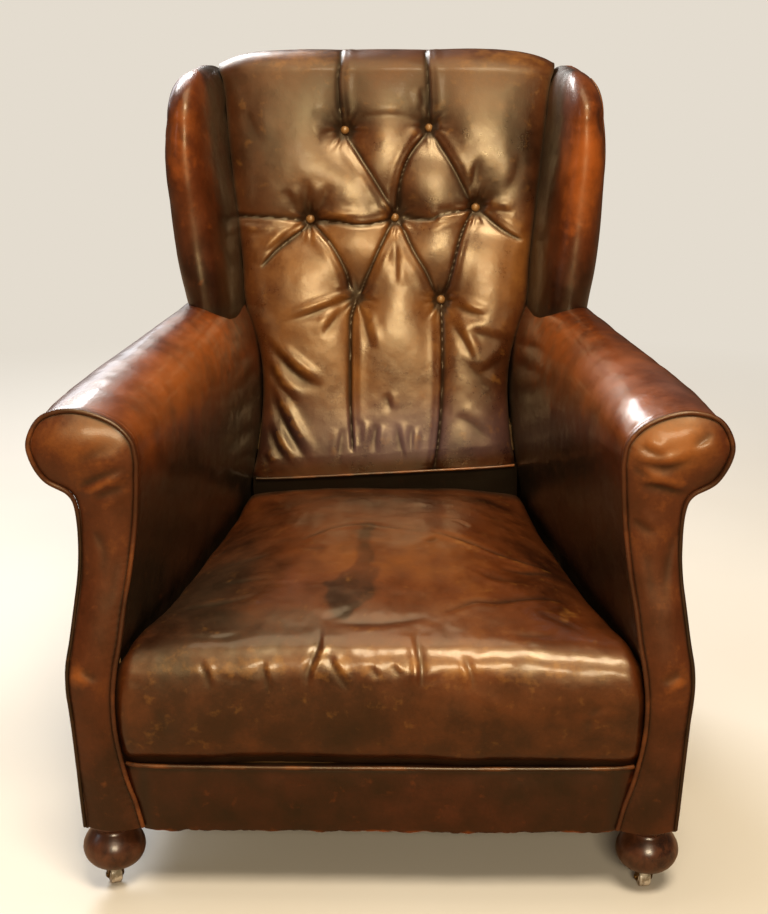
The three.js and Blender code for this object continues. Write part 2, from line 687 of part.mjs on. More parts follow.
// Inside back: its surface sinks at the buttons and along the pleats between them.
function tuftSink(x, z) {
  let sink = 0;
  for (const [bx, bz] of [...BUTTONS, BARE_TUFT]) {
    const far = Math.hypot(x - bx, z - bz);
    sink = Math.max(sink, TUFT_DEPTH * Math.exp(-((far / TUFT_SPREAD) ** 2)));
  }
  for (const [[ax, az], [bx, bz]] of PLEATS) {
    const [dx, dz] = [bx - ax, bz - az];
    const share = ((x - ax) * dx + (z - az) * dz) / (dx * dx + dz * dz);
    const t = Math.min(1, Math.max(0, share));
    const far = Math.hypot(x - ax - t * dx, z - az - t * dz);
    sink = Math.max(sink, PLEAT_DEPTH * Math.exp(-((far / PLEAT_SPREAD) ** 2)));
  }
  return sink;
}
const backBottomZ = (x) => 385 + (x / 200) * 11;
const backTopZ = (x) => BACK_TOP_Z - BACK_TOP_DROP * Math.abs(x / BACK_HALF_SPAN) ** 5;
const TOP_ROLL = { up: 34, deep: 47, foot: 912 };
const BACK_CROWN = 13;

function insideBackSurface(x, z) {
  const u = Math.min(1, Math.abs(x / backHalfWidth(z)));
  const low = Math.min(1, (z - backBottomZ(x)) / 30);
  const crown = BACK_CROWN * (1 - u ** 5) * (0.4 + 0.6 * low);
  return insideBackY(z) + 4 + tuftSink(x, z) * (1 - u ** 8) - crown;
}

function insideBackRing(x) {
  const ring = [];
  const top = backTopZ(x) - TOP_ROLL.up;
  const foot = backBottomZ(x);
  for (const z of [foot, ...BACK_ROWS, top]) ring.push([x, insideBackSurface(x, z), z]);
  const topY = insideBackY(top) + TOP_ROLL.deep;
  for (const angle of [150, 120, 90, 60, 30, 0]) {
    const turn = THREE.MathUtils.degToRad(angle);
    ring.push([
      x, topY + TOP_ROLL.deep * Math.cos(turn), top + TOP_ROLL.up * Math.sin(turn),
    ]);
  }
  ring.push([x, topY + TOP_ROLL.deep, TOP_ROLL.foot]);
  ring.push([x, insideBackY(TOP_ROLL.foot) + BACK_THICKNESS, TOP_ROLL.foot]);
  ring.push([x, insideBackY(foot) + BACK_THICKNESS, foot]);
  return ring;
}
function addBack() {
  let pad = loft(BACK_COLUMNS.map(insideBackRing), [1, 2]);
  pad = pad.intersect(betweenSides(0, () => KNEE_Y, BEHIND_ALL));

  const tilt = 90 - THREE.MathUtils.radToDeg(Math.atan(BACK_LEAN));
  BUTTONS.forEach(([x, z], i) => {
    const seat = [x, insideBackSurface(x, z) - 2, z];
    const well = turned([
      [0, -2], [BUTTON_RADIUS + 1, -2], [BUTTON_RADIUS + 1, 40], [0, 40],
    ], 8);
    pad = pad.subtract(well.rotate([tilt, 0, 0]).translate(seat));
    const button = turned([
      [0, -1], [BUTTON_RADIUS - 1, -1], [BUTTON_RADIUS, 0.6], [BUTTON_RADIUS - 2.5, 3.4],
      [0, 4.2],
    ], 8);
    const piece = add(`back_button_${i + 1}`, button, MATERIALS.button);
    piece.rotation.x = THREE.MathUtils.degToRad(tilt);
    piece.position.set(...seat);
  });
  add('tufted_back', pad, MATERIALS.leather);

  const webY = (z) => insideBackY(z) + BACK_THICKNESS + GAP;
  const strap = (x0, x1, z0, z1) => timberUp([
    [z0, x0, x1, webY(z0), webY(z0) + 1.8], [z1, x0, x1, webY(z1), webY(z1) + 1.8],
  ]);
  let web = strap(-180, 180, 560, 610);
  web = web.add(strap(-190, 190, 700, 750));
  for (const x of [-135, -45, 45, 135]) web = web.add(strap(x - 25, x + 25, 408, 902));
  add('back_webbing', web, MATERIALS.jute);

  const seam = (x) => backBottomZ(x) - 1;
  const band = (y) => [
    [-196, y(345), 345], [196, y(345), 345], [196, y(380), seam(196)], [-196, y(380), seam(-196)],
  ];
  add('lower_back_band', loft([
    band((z) => insideBackY(z) + 3), band((z) => insideBackY(z) + 9),
  ], [0, 2]), MATERIALS.leather);
}

// Plain leather over the rear, and the cloth under the frame.
function addOutside() {
  const rows = [
    [BASE_Z, 287], [REAR_LEAN_Z, 288], [600, 284], [760, 282], [880, 279], [925, 268], [948, 250],
  ];
  const columns = [-1, -0.8, -0.4, 0, 0.4, 0.8, 1];
  const sheet = rows.map(([z, half], r) => columns.map((u) => {
    const lift = r === rows.length - 1 ? 20 * (1 - u ** 4) : 0;
    return [u * half, outsideBackY(z + lift), z + lift];
  }));
  const inner = sheet.map((row) => row.map(([x, y, z]) => [x, y - LEATHER, z]));
  add('outside_back', slab(sheet, inner), MATERIALS.leather);

  const cloth = flatCloth(DUST_COVER, BASE_Z, DUST_COVER_THICKNESS);
  add('dust_cover', cut(cloth, ...FEET.map(studBore)), MATERIALS.cloth);
}

// Turned bun foot with its collar and stud, bored for the pintle of its castor.
function bunFoot() {
  return turned([
    [0, PINTLE_BORE_TOP_Z], [PINTLE_BORE, PINTLE_BORE_TOP_Z], [PINTLE_BORE, BUN_BOTTOM_Z],
    [18, BUN_BOTTOM_Z], [32, 42], [39, 58], [36.5, 72], [25, 86], [29.5, 93], [29.5, 104],
    [STUD_RADIUS, 104], [STUD_RADIUS, STUD_TOP_Z], [0, STUD_TOP_Z],
  ], 16);
}
function castorHorn() {
  const crown = turned([
    [0, 27.5], [11, 27.5], [11, 30.4], [PINTLE_RADIUS, 30.4], [PINTLE_RADIUS, PINTLE_TOP_Z],
    [0, PINTLE_TOP_Z],
  ], 10);
  const axle = turned([[0, -10.6], [AXLE_RADIUS, -10.6], [AXLE_RADIUS, 10.6], [0, 10.6]], 8);
  const ear = [
    [-6, 29.5], [7, 29.5], [12.5, 16], [12.5, 10], [10, 7.5], [6, 7.5], [3.5, 10], [1, 18],
  ];
  let horn = crown.add(axle.rotate([0, 90, 0]).translate([0, CASTOR_TRAIL, WHEEL_RADIUS]));
  for (const s of [-1, 1]) {
    horn = horn.add(loft([
      ear.map(([y, z]) => [s * 8.2, y, z]), ear.map(([y, z]) => [s * 10, y, z]),
    ], [1, 2]));
  }
  return horn;
}
function castorWheel() {
  const corner = WHEEL_RADIUS / Math.cos(Math.PI / WHEEL_SIDES);
  const half = WHEEL_WIDTH / 2;
  const tyre = turned([
    [AXLE_BORE, -half], [corner, -half], [corner, half], [AXLE_BORE, half],
    [AXLE_BORE, -half],
  ], WHEEL_SIDES);
  const halfSide = 180 / WHEEL_SIDES;
  return tyre.rotate([0, 0, halfSide]).rotate([0, 90, 0]);
}
function addFeet() {
  for (const foot of FEET) {
    const stand = new THREE.Group();
    stand.position.set(foot.x, foot.y, 0);
    chair.add(stand);
    add(`bun_foot_${foot.name}`, bunFoot(), MATERIALS.dark_wood, stand);
    add(`castor_plate_${foot.name}`, turned([
      [PINTLE_BORE, 30.8], [16, 30.8], [16, 32.6], [PINTLE_BORE, 32.6], [PINTLE_BORE, 30.8],
    ], 12), MATERIALS.brass, stand);
    const swivel = new THREE.Group();
    swivel.rotation.z = THREE.MathUtils.degToRad(foot.turn);
    stand.add(swivel);
    add(`castor_horn_${foot.name}`, castorHorn(), MATERIALS.brass, swivel);
    const wheel = add(`castor_wheel_${foot.name}`, castorWheel(), MATERIALS.ceramic, swivel);
    wheel.position.set(0, CASTOR_TRAIL, WHEEL_RADIUS);
  }
}

addFrame();
addSeatSupport();
addSeat();
addBorder();
for (const [side, s] of [['left', -1], ['right', 1]]) {
  addFacing(side, s);
  addArm(side, s);
  addWing(side, s);
}
addBack();
addOutside();
addFeet();

// The middle of the chair's depth is at y = 0.
chair.position.y = -(KNEE_Y + REAR_TOP_Y) / 2;

export default chair;
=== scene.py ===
# Looks of the worn club chair: old glossy brown leather over a sprung and stuffed frame.
# Shapes are worked out in millimetres, with heights from the floor and y from the front
# plane of the arm facings, as the solids are. The visual pieces are written in metres.

import math

import bmesh
import bpy
import numpy as np
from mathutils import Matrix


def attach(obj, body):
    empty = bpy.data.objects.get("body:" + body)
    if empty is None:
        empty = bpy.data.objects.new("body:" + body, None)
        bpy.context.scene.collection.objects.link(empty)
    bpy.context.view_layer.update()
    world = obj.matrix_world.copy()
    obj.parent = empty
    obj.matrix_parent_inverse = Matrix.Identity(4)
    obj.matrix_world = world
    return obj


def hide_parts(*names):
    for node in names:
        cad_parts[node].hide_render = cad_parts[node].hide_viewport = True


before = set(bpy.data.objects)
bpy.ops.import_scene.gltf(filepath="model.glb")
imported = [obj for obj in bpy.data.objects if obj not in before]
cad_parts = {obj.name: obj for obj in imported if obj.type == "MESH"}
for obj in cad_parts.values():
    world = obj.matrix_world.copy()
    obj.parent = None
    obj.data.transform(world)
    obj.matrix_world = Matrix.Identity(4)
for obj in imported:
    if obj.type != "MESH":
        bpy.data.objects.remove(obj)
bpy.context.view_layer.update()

MM = 0.001
MID_Y = 386.5
BODY = "chair"

# Places shared with the solids.
BASE_Z = 104.6
WELT_Z = 193.0
FACING_REAR_Y = 17.5
BORDER_REAR_Y = 17.0
BORDER_TOP_Z = 190.5
ARM_LENGTH = 664.0
ARM_SECTION_SPACING = 580.0
ARM_TOP_Z = 640.0
BACK_FOOT_Z = 380.0
BACK_FOOT_Y = 540.0
BACK_LEAN = 0.24
BACK_TOP_Z = 984.0
BACK_TOP_DROP = 26.0
BACK_HALF_SPAN = 250.0
BACK_CROWN = 13.0
ROLL_UP = 34.0
ROLL_DEEP = 47.0
ROLL_FOOT_Z = 912.0
REAR_LEAN_Z = 350.0
REAR_FOOT_Y = 690.0
REAR_LEAN = 95.0 / 620.0
BUTTON_RADIUS = 6.8
CASTOR_TRAIL = 8.0
WHEEL_RADIUS = 12.0

# Each foot's place and the turn of its castor in degrees.
FEET = {
    "front_left": (-334.0, 45.0, 25.0),
    "front_right": (334.0, 45.0, 8.0),
    "rear_left": (-265.0, 650.0, 0.0),
    "rear_right": (265.0, 650.0, 0.0),
}

BUTTONS = [
    (-60.8, 875.0), (62.4, 879.5), (-112.2, 748.9), (13.6, 752.1), (131.6, 767.0), (81.6, 634.6),
]
BARE_TUFT = (-42.0, 637.2)

# Sections are written as (distance from the middle, height).
FACING_EDGE = [
    (290, 106), (297, 140), (306, 172), (313, 210), (316.5, 247), (316, 287), (311, 326),
    (304.5, 360), (298, 403), (290, 446), (282, 503), (277, 559), (276, 583), (282, 606),
    (305, 626), (345, 637.5), (380, 630), (396, 606), (395, 583), (381, 556), (356, 539),
    (348, 518), (346.5, 476), (349, 438), (355, 398), (361, 360), (366.5, 330),
    (368.5, 298), (366.5, 256), (365, 210), (363, 148), (361, 106),
]
ARM_FRONT_SECTION = [(312, 206), (316, 250), (315, 290), *FACING_EDGE[6:20], (354, 540)]
ARM_BACK_SECTION = [
    (205, 268), (203, 284), (200, 306), (196, 334), (191, 360), (185, 400), (180, 446),
    (179, 503), (183, 550), (190, 585), (199, 613), (213, 637), (235, 650), (262, 647),
    (281, 624), (284, 592), (279, 566), (268, 552),
]

# Tables of (height, distance or y).
OUTSIDE_FRONT = [
    (104.6, 361), (210, 364), (298, 368), (330, 366), (360, 361), (398, 355), (438, 349.5),
    (476, 347.5), (534, 347.5), (545, 346),
]
OUTSIDE_REAR = [
    (104.6, 290), (210, 291), (298, 291), (330, 290), (360, 288), (398, 285), (438, 281),
    (476, 279), (546, 271), (564, 266),
]
OUTSIDE_BACK = [
    (BASE_Z, 287), (REAR_LEAN_Z, 288), (600, 284), (760, 282), (880, 279), (925, 268), (948, 250),
]
BACK_HALF_WIDTH = [
    (360, 203), (420, 191), (466, 185.5), (512, 183), (545, 185), (590, 195), (619, 205),
    (690, 212), (750, 218), (800, 224), (850, 230), (900, 235), (925, 238), (945, 242),
    (962, 247), (990, 250),
]
WING_OUTER = [
    (570, 270), (590, 272), (650, 281), (690, 290), (740, 298), (790, 303), (850, 307),
    (885, 305), (900, 303),
]
WING_FRONT = [(570, 484), (590, 484), (650, 480), (740, 488), (850, 497), (900, 503)]
FACING_FRONT = [
    (100, 2), (200, -2), (270, -8), (330, -12), (390, -4), (450, 5), (520, 8), (590, 0), (642, 6),
]

# The wing's section as shares of its width and of how far it stands out, and its dome.
WING_FLARE = {"left": 0.0, "right": 10.0}
WING_SECTION = [
    (0.04, 0.3), (0.1, 0.55), (0.2, 0.76), (0.34, 0.92), (0.53, 0.995), (0.73, 0.98), (0.89, 0.895),
    (0.975, 0.77), (1.0, 0.64),
]
WING_FOOT = 578.0
DOME_FOOT = 900.0
DOME_TOP = 963.0
DOME_PLACE = (266.0, 600.0)
DOME_POWER = 2.1

# Seat rows from the hem up and back: y, height in the middle, height at the sides, half width.
SEAT_ROWS = [
    (3, 197, 197, 308), (-3, 226, 226, 310), (-6.5, 258, 257, 311), (-6.5, 286, 284, 309.5),
    (-3.5, 308, 304, 307), (2, 326, 320, 304.5), (11, 340, 332, 301.5), (24, 350.5, 339.5, 298.5),
    (46, 359.5, 341.5, 295), (85, 374, 340, 287.6), (140, 387, 336, 277.4), (200, 396, 333, 266.3),
    (270, 399, 332, 253.3), (340, 395, 334, 240.4), (410, 387, 338, 227.4), (470, 377, 347, 216.3),
    (520, 367, 356, 207),
]


# Curves and tables.
def graded(rows, at):
    """Smooth value at places in a table of (place, value) rows."""
    rows = np.asarray(rows, float)
    place, value = rows[:, 0], rows[:, 1]
    slope = np.gradient(value, place)
    at = np.clip(at, place[0], place[-1])
    k = np.clip(np.searchsorted(place, at) - 1, 0, len(place) - 2)
    gap = place[k + 1] - place[k]
    t = (at - place[k]) / gap
    return (
        (2 * t**3 - 3 * t**2 + 1) * value[k]
        + (t**3 - 2 * t**2 + t) * gap * slope[k]
        + (3 * t**2 - 2 * t**3) * value[k + 1]
        + (t**3 - t**2) * gap * slope[k + 1]
    )


def spline(points, shares):
    """Smooth curve through points, at even-parameter shares from 0 to 1."""
    points = np.asarray(points, float)
    points = np.vstack([points[0], points, points[-1]])
    last = len(points) - 3
    t = np.asarray(shares, float) * last
    k = np.clip(t.astype(int), 0, last - 1)
    f = (t - k)[..., None]
    a, b, c, d = points[k], points[k + 1], points[k + 2], points[k + 3]
    return 0.5 * (
        2 * b + (c - a) * f + (2 * a - 5 * b + 4 * c - d) * f**2 + (3 * b - a - 3 * c + d) * f**3
    )


def run_along(line):
    """Length run from a line's first point to each of its points."""
    return np.concatenate([[0], np.cumsum(np.linalg.norm(np.diff(line, axis=0), axis=1))])


def even_shares(points, count):
    """Parameter shares that space points evenly along the smooth curve."""
    fine = np.linspace(0, 1, 1200)
    run = run_along(spline(points, fine))
    return np.interp(np.linspace(0, run[-1], count), run, fine)


def ease(t):
    t = np.clip(t, 0, 1)
    return t * t * (3 - 2 * t)


def hump(at, middle, width):
    """A soft rise to 1 at the middle."""
    return np.exp(-(((at - middle) / width) ** 2))


def inside_back_y(z):
    return BACK_FOOT_Y + (z - BACK_FOOT_Z) * BACK_LEAN


def outside_back_y(z):
    return REAR_FOOT_Y + np.maximum(0, z - REAR_LEAN_Z) * REAR_LEAN


def back_foot_z(x):
    return 385 + x * 11 / 200


def back_top_z(x):
    return BACK_TOP_Z - BACK_TOP_DROP * np.abs(x / BACK_HALF_SPAN) ** 5


def noise(u, v, size, seed):
    """Smooth random hills in -1 to 1, each about size across."""
    cells = 64
    lattice = np.random.default_rng(seed).uniform(-1, 1, (cells, cells))
    a, b = u / size + 1000.0, v / size + 1000.0
    i, j = np.floor(a).astype(int), np.floor(b).astype(int)
    fa, fb = ease(a - i), ease(b - j)
    low = lattice[i % cells, j % cells] * (1 - fa) + lattice[(i + 1) % cells, j % cells] * fa
    j = j + 1
    high = lattice[i % cells, j % cells] * (1 - fa) + lattice[(i + 1) % cells, j % cells] * fa
    return low * (1 - fb) + high * fb


def wander(run, size, seed):
    """The same hills along one line."""
    return noise(run, 0 * run, size, seed)


def hills(u, v, size, seed):
    return noise(u, v, size, seed) + 0.5 * noise(u, v, size / 2.1, seed + 1)


def blur(field, cells):
    """Three box blurs along both sides of a grid."""
    for _ in range(3):
        for axis in (0, 1):
            width = 2 * cells + 1
            pad = [(0, 0), (0, 0)]
            pad[axis] = (cells + 1, cells)
            total = np.cumsum(np.pad(field, pad, mode="edge"), axis=axis)
            length = field.shape[axis]
            upper = np.take(total, range(width, width + length), axis=axis)
            lower = np.take(total, range(length), axis=axis)
            field = (upper - lower) / width
    return field


def relax(rest, pinned, value, reach, rounds):
    """A stretched skin that settles to rest, pinned at some cells; reach is in cells."""
    height = np.where(pinned, value, rest)
    pull = reach * reach
    for _ in range(rounds):
        padded = np.pad(height, 1, mode="edge")
        around = padded[:-2, 1:-1] + padded[2:, 1:-1] + padded[1:-1, :-2] + padded[1:-1, 2:]
        height = np.where(pinned, value, (rest + pull * around) / (1 + 4 * pull))
    return height


# Masks, in order: painted shade and dirt; wear; own tone with painted light and shade; a painted cool
# sheen; dullness, which adds only roughness.
MASKS = ("shade_and_dirt", "worn", "tone", "cool", "dull")


class Relief:
    """Height and wear of a surface that is laid out over two lengths, u and v."""

    def __init__(self, u, v):
        self.u, self.v = u, v
        for name in ("height", *MASKS):
            setattr(self, name, np.zeros(u.shape))

    def near(self, points, margin):
        """Cells near a smooth line, their signed distance from it and share along it."""
        points = np.asarray(points, float)
        length = np.linalg.norm(np.diff(points, axis=0), axis=1).sum()
        line = spline(points, np.linspace(0, 1, max(6, int(length / 5))))
        low, high = line.min(0) - margin, line.max(0) + margin
        inside = (self.u > low[0]) & (self.u < high[0]) & (self.v > low[1]) & (self.v < high[1])
        cells = np.nonzero(inside)
        u, v = self.u[cells], self.v[cells]
        best = np.full(u.shape, 1e9)
        signed = np.zeros(u.shape)
        share = np.zeros(u.shape)
        steps = len(line) - 1
        for k in range(steps):
            a, d = line[k], line[k + 1] - line[k]
            t = np.clip(((u - a[0]) * d[0] + (v - a[1]) * d[1]) / (d @ d), 0, 1)
            across_u, across_v = u - a[0] - t * d[0], v - a[1] - t * d[1]
            far = np.hypot(across_u, across_v)
            closer = far < best
            best = np.where(closer, far, best)
            turn = np.sign(d[0] * across_v - d[1] * across_u)
            signed = np.where(closer, far * turn, signed)
            share = np.where(closer, (k + t) / steps, share)
        return cells, signed, share

    def fold(self, points, depth, width, lip, side, fade, worn, shade):
        """A crease: steep under its lip, which stands on one side, and gentle on the other; its
        valley gets a dark line of painted shade.
        """
        cells, far, share = self.near(points, 7 * width + 6)
        ends = ease(share / max(fade[0], 1e-3)) * ease((1 - share) / max(fade[1], 1e-3))
        across = far * side
        span = np.where(across > 0, 0.7 * width, 1.5 * width)
        ridge = hump(across, 1.9 * width, 1.25 * width)
        self.height[cells] -= depth * ends * np.exp(-((across / span) ** 2))
        self.height[cells] += lip * ends * ridge
        dark = shade * ends * hump(across, 0, 0.75 * width + 0.5)
        self.shade_and_dirt[cells] = np.maximum(self.shade_and_dirt[cells], dark)
        self.worn[cells] = np.maximum(self.worn[cells], worn * ends * ridge)

    def folds(self, rows, fade, worn, shade, scale=(1, 1, 1)):
        """Folds from rows of places, depth, width, lip and the lip's side."""
        for points, *sizes, side in rows:
            depth, width, lip = (size * by for size, by in zip(sizes, scale))
            self.fold(points, depth, width, lip, side, fade, worn, shade)

    def rough(self, *rows):
        """Adds hills from rows of height, size and seed."""
        for height, size, seed in rows:
            self.height += height * hills(self.u, self.v, size, seed)

    def spots(self, mask, *rows):
        """Adds soft oval spots from rows of place, half sizes and amount."""
        for u, v, wide, high, amount in rows:
            far = ((self.u - u) / wide) ** 2 + ((self.v - v) / high) ** 2
            getattr(self, mask)[...] += amount * np.exp(-far)

    # Darkens cells: painted shade in crevices and creases, and dirt.
    def add_shade_and_dirt(self, share):
        self.shade_and_dirt = np.maximum(self.shade_and_dirt, share)

    def shade_and_age(self, cells, shade_and_dirt=0.25, ridge=0.1):
        """Hollows get painted shade and dirt, and ridges lose their colour."""
        rise = self.height - blur(self.height, cells)
        self.shade_and_dirt = np.clip(self.shade_and_dirt + shade_and_dirt * np.clip(-rise, 0, 4), 0, 1)
        self.worn = np.clip(self.worn + ridge * np.clip(rise - 0.15, 0, 3), 0, 1)

    def rub_hem(self, amount, reach, size, seed, bias):
        """Patchy wear along the chair's lower edge; v is the height."""
        patches = np.clip(noise(self.u, self.v, size, seed) + bias, 0, 1)
        self.worn += amount * hump(self.v, BASE_Z, reach) * patches

    def lift(self, base, normals):
        return base + normals * self.height[..., None]

    def fields(self):
        return {name: np.clip(getattr(self, name), -1, 1) for name in MASKS}


# Meshes.
def grid_normals(grid):
    normal = np.cross(np.gradient(grid, axis=1), np.gradient(grid, axis=0))
    return normal / np.maximum(np.linalg.norm(normal, axis=2, keepdims=True), 1e-9)


def outward(grid, axis, way, cell=None):
    """Normals of a grid, turned so that the one at a cell, or the middle one, points a way."""
    normal = grid_normals(grid)
    row, column = cell or (grid.shape[0] // 2, grid.shape[1] // 2)
    return normal * (way * np.sign(normal[row, column, axis]))


def quads(rows, columns, start=0):
    index = start + np.arange(rows * columns).reshape(rows, columns)
    corners = (index[:-1, :-1], index[:-1, 1:], index[1:, 1:], index[1:, :-1])
    return np.stack([corner.ravel() for corner in corners], axis=1)


def rim_cells(rows, columns):
    """Indices round the edge of a grid, in order."""
    index = np.arange(rows * columns).reshape(rows, columns)
    return np.concatenate([index[0, :-1], index[:-1, -1], index[-1, :0:-1], index[:0:-1, 0]])


def closed_quads(first, second):
    """Faces between two closed rings of indices."""
    return np.stack([first, second, np.roll(second, -1), np.roll(first, -1)], axis=1)


def make_piece(name, points, faces, look, body=BODY, fields=None, replaces=(), sharp=50):
    """A mesh in the frame's metres, with smooth faces, that rides on a body."""
    points = np.asarray(points, float).reshape(-1, 3)
    placed = (points - (0, MID_Y, 0)) * MM
    mesh = bpy.data.meshes.new(name)
    mesh.from_pydata(placed.tolist(), [], [[int(i) for i in face] for face in faces])
    for key, values in (fields or {}).items():
        layer = mesh.attributes.new(key, "FLOAT", "POINT")
        layer.data.foreach_set("value", np.asarray(values, np.float32))
    work = bmesh.new()
    work.from_mesh(mesh)
    bmesh.ops.recalc_face_normals(work, faces=work.faces)
    work.to_mesh(mesh)
    work.free()
    mesh.polygons.foreach_set("use_smooth", [True] * len(mesh.polygons))
    mesh.set_sharp_from_angle(angle=math.radians(sharp))
    mesh.materials.append(LOOKS[look])
    piece = bpy.data.objects.new(name, mesh)
    bpy.context.scene.collection.objects.link(piece)
    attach(piece, body)
    if replaces:
        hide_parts(*replaces)
    return piece


def pad_piece(name, grid, relief, inward, core, look, *replaces):
    """A stuffed pad: its surface, a rim that turns in, and a fan behind it."""
    rows, columns = grid.shape[:2]
    rim = rim_cells(rows, columns)
    flat = grid.reshape(-1, 3)
    ring = flat[rim] + inward.reshape(-1, 3)[rim]
    points = np.vstack([flat, ring, [core]])
    ring_index = len(flat) + np.arange(len(rim))
    faces = [*quads(rows, columns), *closed_quads(rim, ring_index)]
    faces += [(a, b, len(points) - 1) for a, b in zip(ring_index, np.roll(ring_index, -1))]
    fields = {}
    for key, values in relief.fields().items():
        flat = values.ravel()
        fields[key] = np.concatenate([flat, flat[rim], [flat.mean()]])
    return make_piece(name, points, faces, look, fields=fields, replaces=replaces)


def skin_piece(name, grid, relief, under, look, *replaces):
    """A skin with the same grid under it, joined along the rim."""
    rows, columns = grid.shape[:2]
    rim = rim_cells(rows, columns)
    count = rows * columns
    faces = [*quads(rows, columns), *quads(rows, columns, count)[:, ::-1]]
    faces += list(closed_quads(rim, rim + count))
    fields = {key: np.concatenate([v.ravel(), v.ravel()]) for key, v in relief.fields().items()}
    points = np.vstack([grid.reshape(-1, 3), under.reshape(-1, 3)])
    return make_piece(name, points, faces, look, fields=fields, replaces=replaces)


def piping(name, path, radius, sides, fields, *replaces):
    """A welt with flat ends along a path of points; radius may change along it."""
    path = np.asarray(path, float)
    radius = np.broadcast_to(radius, len(path))
    run = np.gradient(path, axis=0)
    run /= np.linalg.norm(run, axis=1, keepdims=True)
    side = np.cross(run[0], (0.3, 0.9, 0.2))
    turn = np.linspace(0, 2 * math.pi, sides, endpoint=False)[:, None]
    rings = []
    for k, tangent in enumerate(run):
        side = side - tangent * (side @ tangent)
        side /= np.linalg.norm(side)
        other = np.cross(tangent, side)
        rings.append(path[k] + radius[k] * (np.cos(turn) * side + np.sin(turn) * other))
    points = np.vstack(rings)
    index = np.arange(len(points)).reshape(-1, sides)
    faces = [face for a, b in zip(index[:-1], index[1:]) for face in closed_quads(a, b)]
    faces += [index[0][::-1], index[-1]]
    fields = {key: np.repeat(value, sides) for key, value in fields.items()}
    make_piece(name, points, faces, "welt_leather", BODY, fields, replaces, 70)


def turned_mesh(profile, sides):
    """Points and faces of a turned shape from (radius, height) rows, closed at the axis."""
    points, rings = [], []
    for radius, height in profile:
        if radius < 1e-6:
            rings.append([len(points)] * sides)
            points.append((0, 0, height))
            continue
        rings.append(list(range(len(points), len(points) + sides)))
        for k in range(sides):
            angle = 2 * math.pi * k / sides
            points.append((radius * math.cos(angle), radius * math.sin(angle), height))
    faces = []
    for low, high in zip(rings[:-1], rings[1:]):
        for k in range(sides):
            n = (k + 1) % sides
            face = [low[k], low[n], high[n], high[k]]
            kept = [corner for i, corner in enumerate(face) if corner not in face[:i]]
            if len(kept) > 2:
                faces.append(kept)
    return np.array(points, float), faces


# Materials.
def linear(code):
    """Linear colour from a written rrggbb one."""
    parts = [int(code[i:i + 2], 16) / 255 for i in (0, 2, 4)]
    return (*[p / 12.92 if p <= 0.04045 else ((p + 0.055) / 1.055) ** 2.4 for p in parts], 1.0)


def connect(tree, socket, value):
    """Gives a socket a value or another node's socket."""
    if isinstance(value, bpy.types.NodeSocket):
        tree.links.new(value, socket)
    else:
        socket.default_value = value


def add_node(tree, kind, inputs=None, **settings):
    made = tree.nodes.new(f"ShaderNode{kind}")
    for key, value in settings.items():
        setattr(made, key, value)
    for key, value in (inputs or {}).items():
        connect(tree, made.inputs[key], value)
    return made


class Look:
    """Builds one procedural material."""

    def __init__(self, name, **fixed):
        self.material = bpy.data.materials.new(name)
        self.material.use_nodes = True
        self.tree = self.material.node_tree
        self.shader = self.tree.nodes["Principled BSDF"]
        for key, value in fixed.items():
            self.shader.inputs[key.replace("_", " ")].default_value = value
        self.place = self.node("TexCoord").outputs["Object"]

    def node(self, kind, inputs=None, **settings):
        return add_node(self.tree, kind, inputs, **settings)

    def noise(self, scale, detail=3.0, roughness=0.55, stretch=None, distortion=0.0):
        place = self.place
        if stretch:
            place = self.node("Mapping", {"Vector": place, "Scale": stretch}).outputs[0]
        inputs = {
            "Vector": place, "Scale": scale, "Detail": detail, "Roughness": roughness,
            "Distortion": distortion,
        }
        return self.node("TexNoise", inputs).outputs[0]

    def mask(self, name):
        return self.node("Attribute", attribute_name=name).outputs["Fac"]

    def math(self, operation, a, b=0.5):
        return self.node("Math", {0: a, 1: b}, operation=operation).outputs[0]

    def total(self, *terms):
        """Sum of terms; a term written as a pair is a value and its weight."""
        parts = [self.math("MULTIPLY", *t) if isinstance(t, tuple) else t for t in terms]
        value = parts[0]
        for part in parts[1:]:
            value = self.math("ADD", value, part)
        return value

    def centred(self, value):
        return self.math("SUBTRACT", value)

    def spread(self, value, low, high, to_low=0.0, to_high=1.0):
        inputs = {
            "Value": value, "From Min": low, "From Max": high, "To Min": to_low, "To Max": to_high,
        }
        return self.node("MapRange", inputs, clamp=True).outputs[0]

    def lay(self, colour, top, share, weight):
        """One colour laid over another by a weighted share."""
        inputs = {0: self.math("MULTIPLY", share, weight), 6: colour, 7: top}
        return self.node("Mix", inputs, data_type="RGBA").outputs[2]

    def ramp(self, value, *stops):
        made = self.node("ValToRGB", {"Fac": value})
        band = made.color_ramp
        while len(band.elements) < len(stops):
            band.elements.new(0.5)
        for element, (at, colour) in zip(band.elements, stops):
            element.position = at
            element.color = colour
        return made.outputs[0]

    def bump(self, height, strength, distance, **under):
        inputs = {"Height": height, "Strength": strength, "Distance": distance, **under}
        return self.node("Bump", inputs).outputs[0]

    def finish(self, *values):
        """Connects the colour, then the roughness and the normal where they are given."""
        for key, value in zip(("Base Color", "Roughness", "Normal"), values):
            connect(self.tree, self.shader.inputs[key], value)
        return self.material


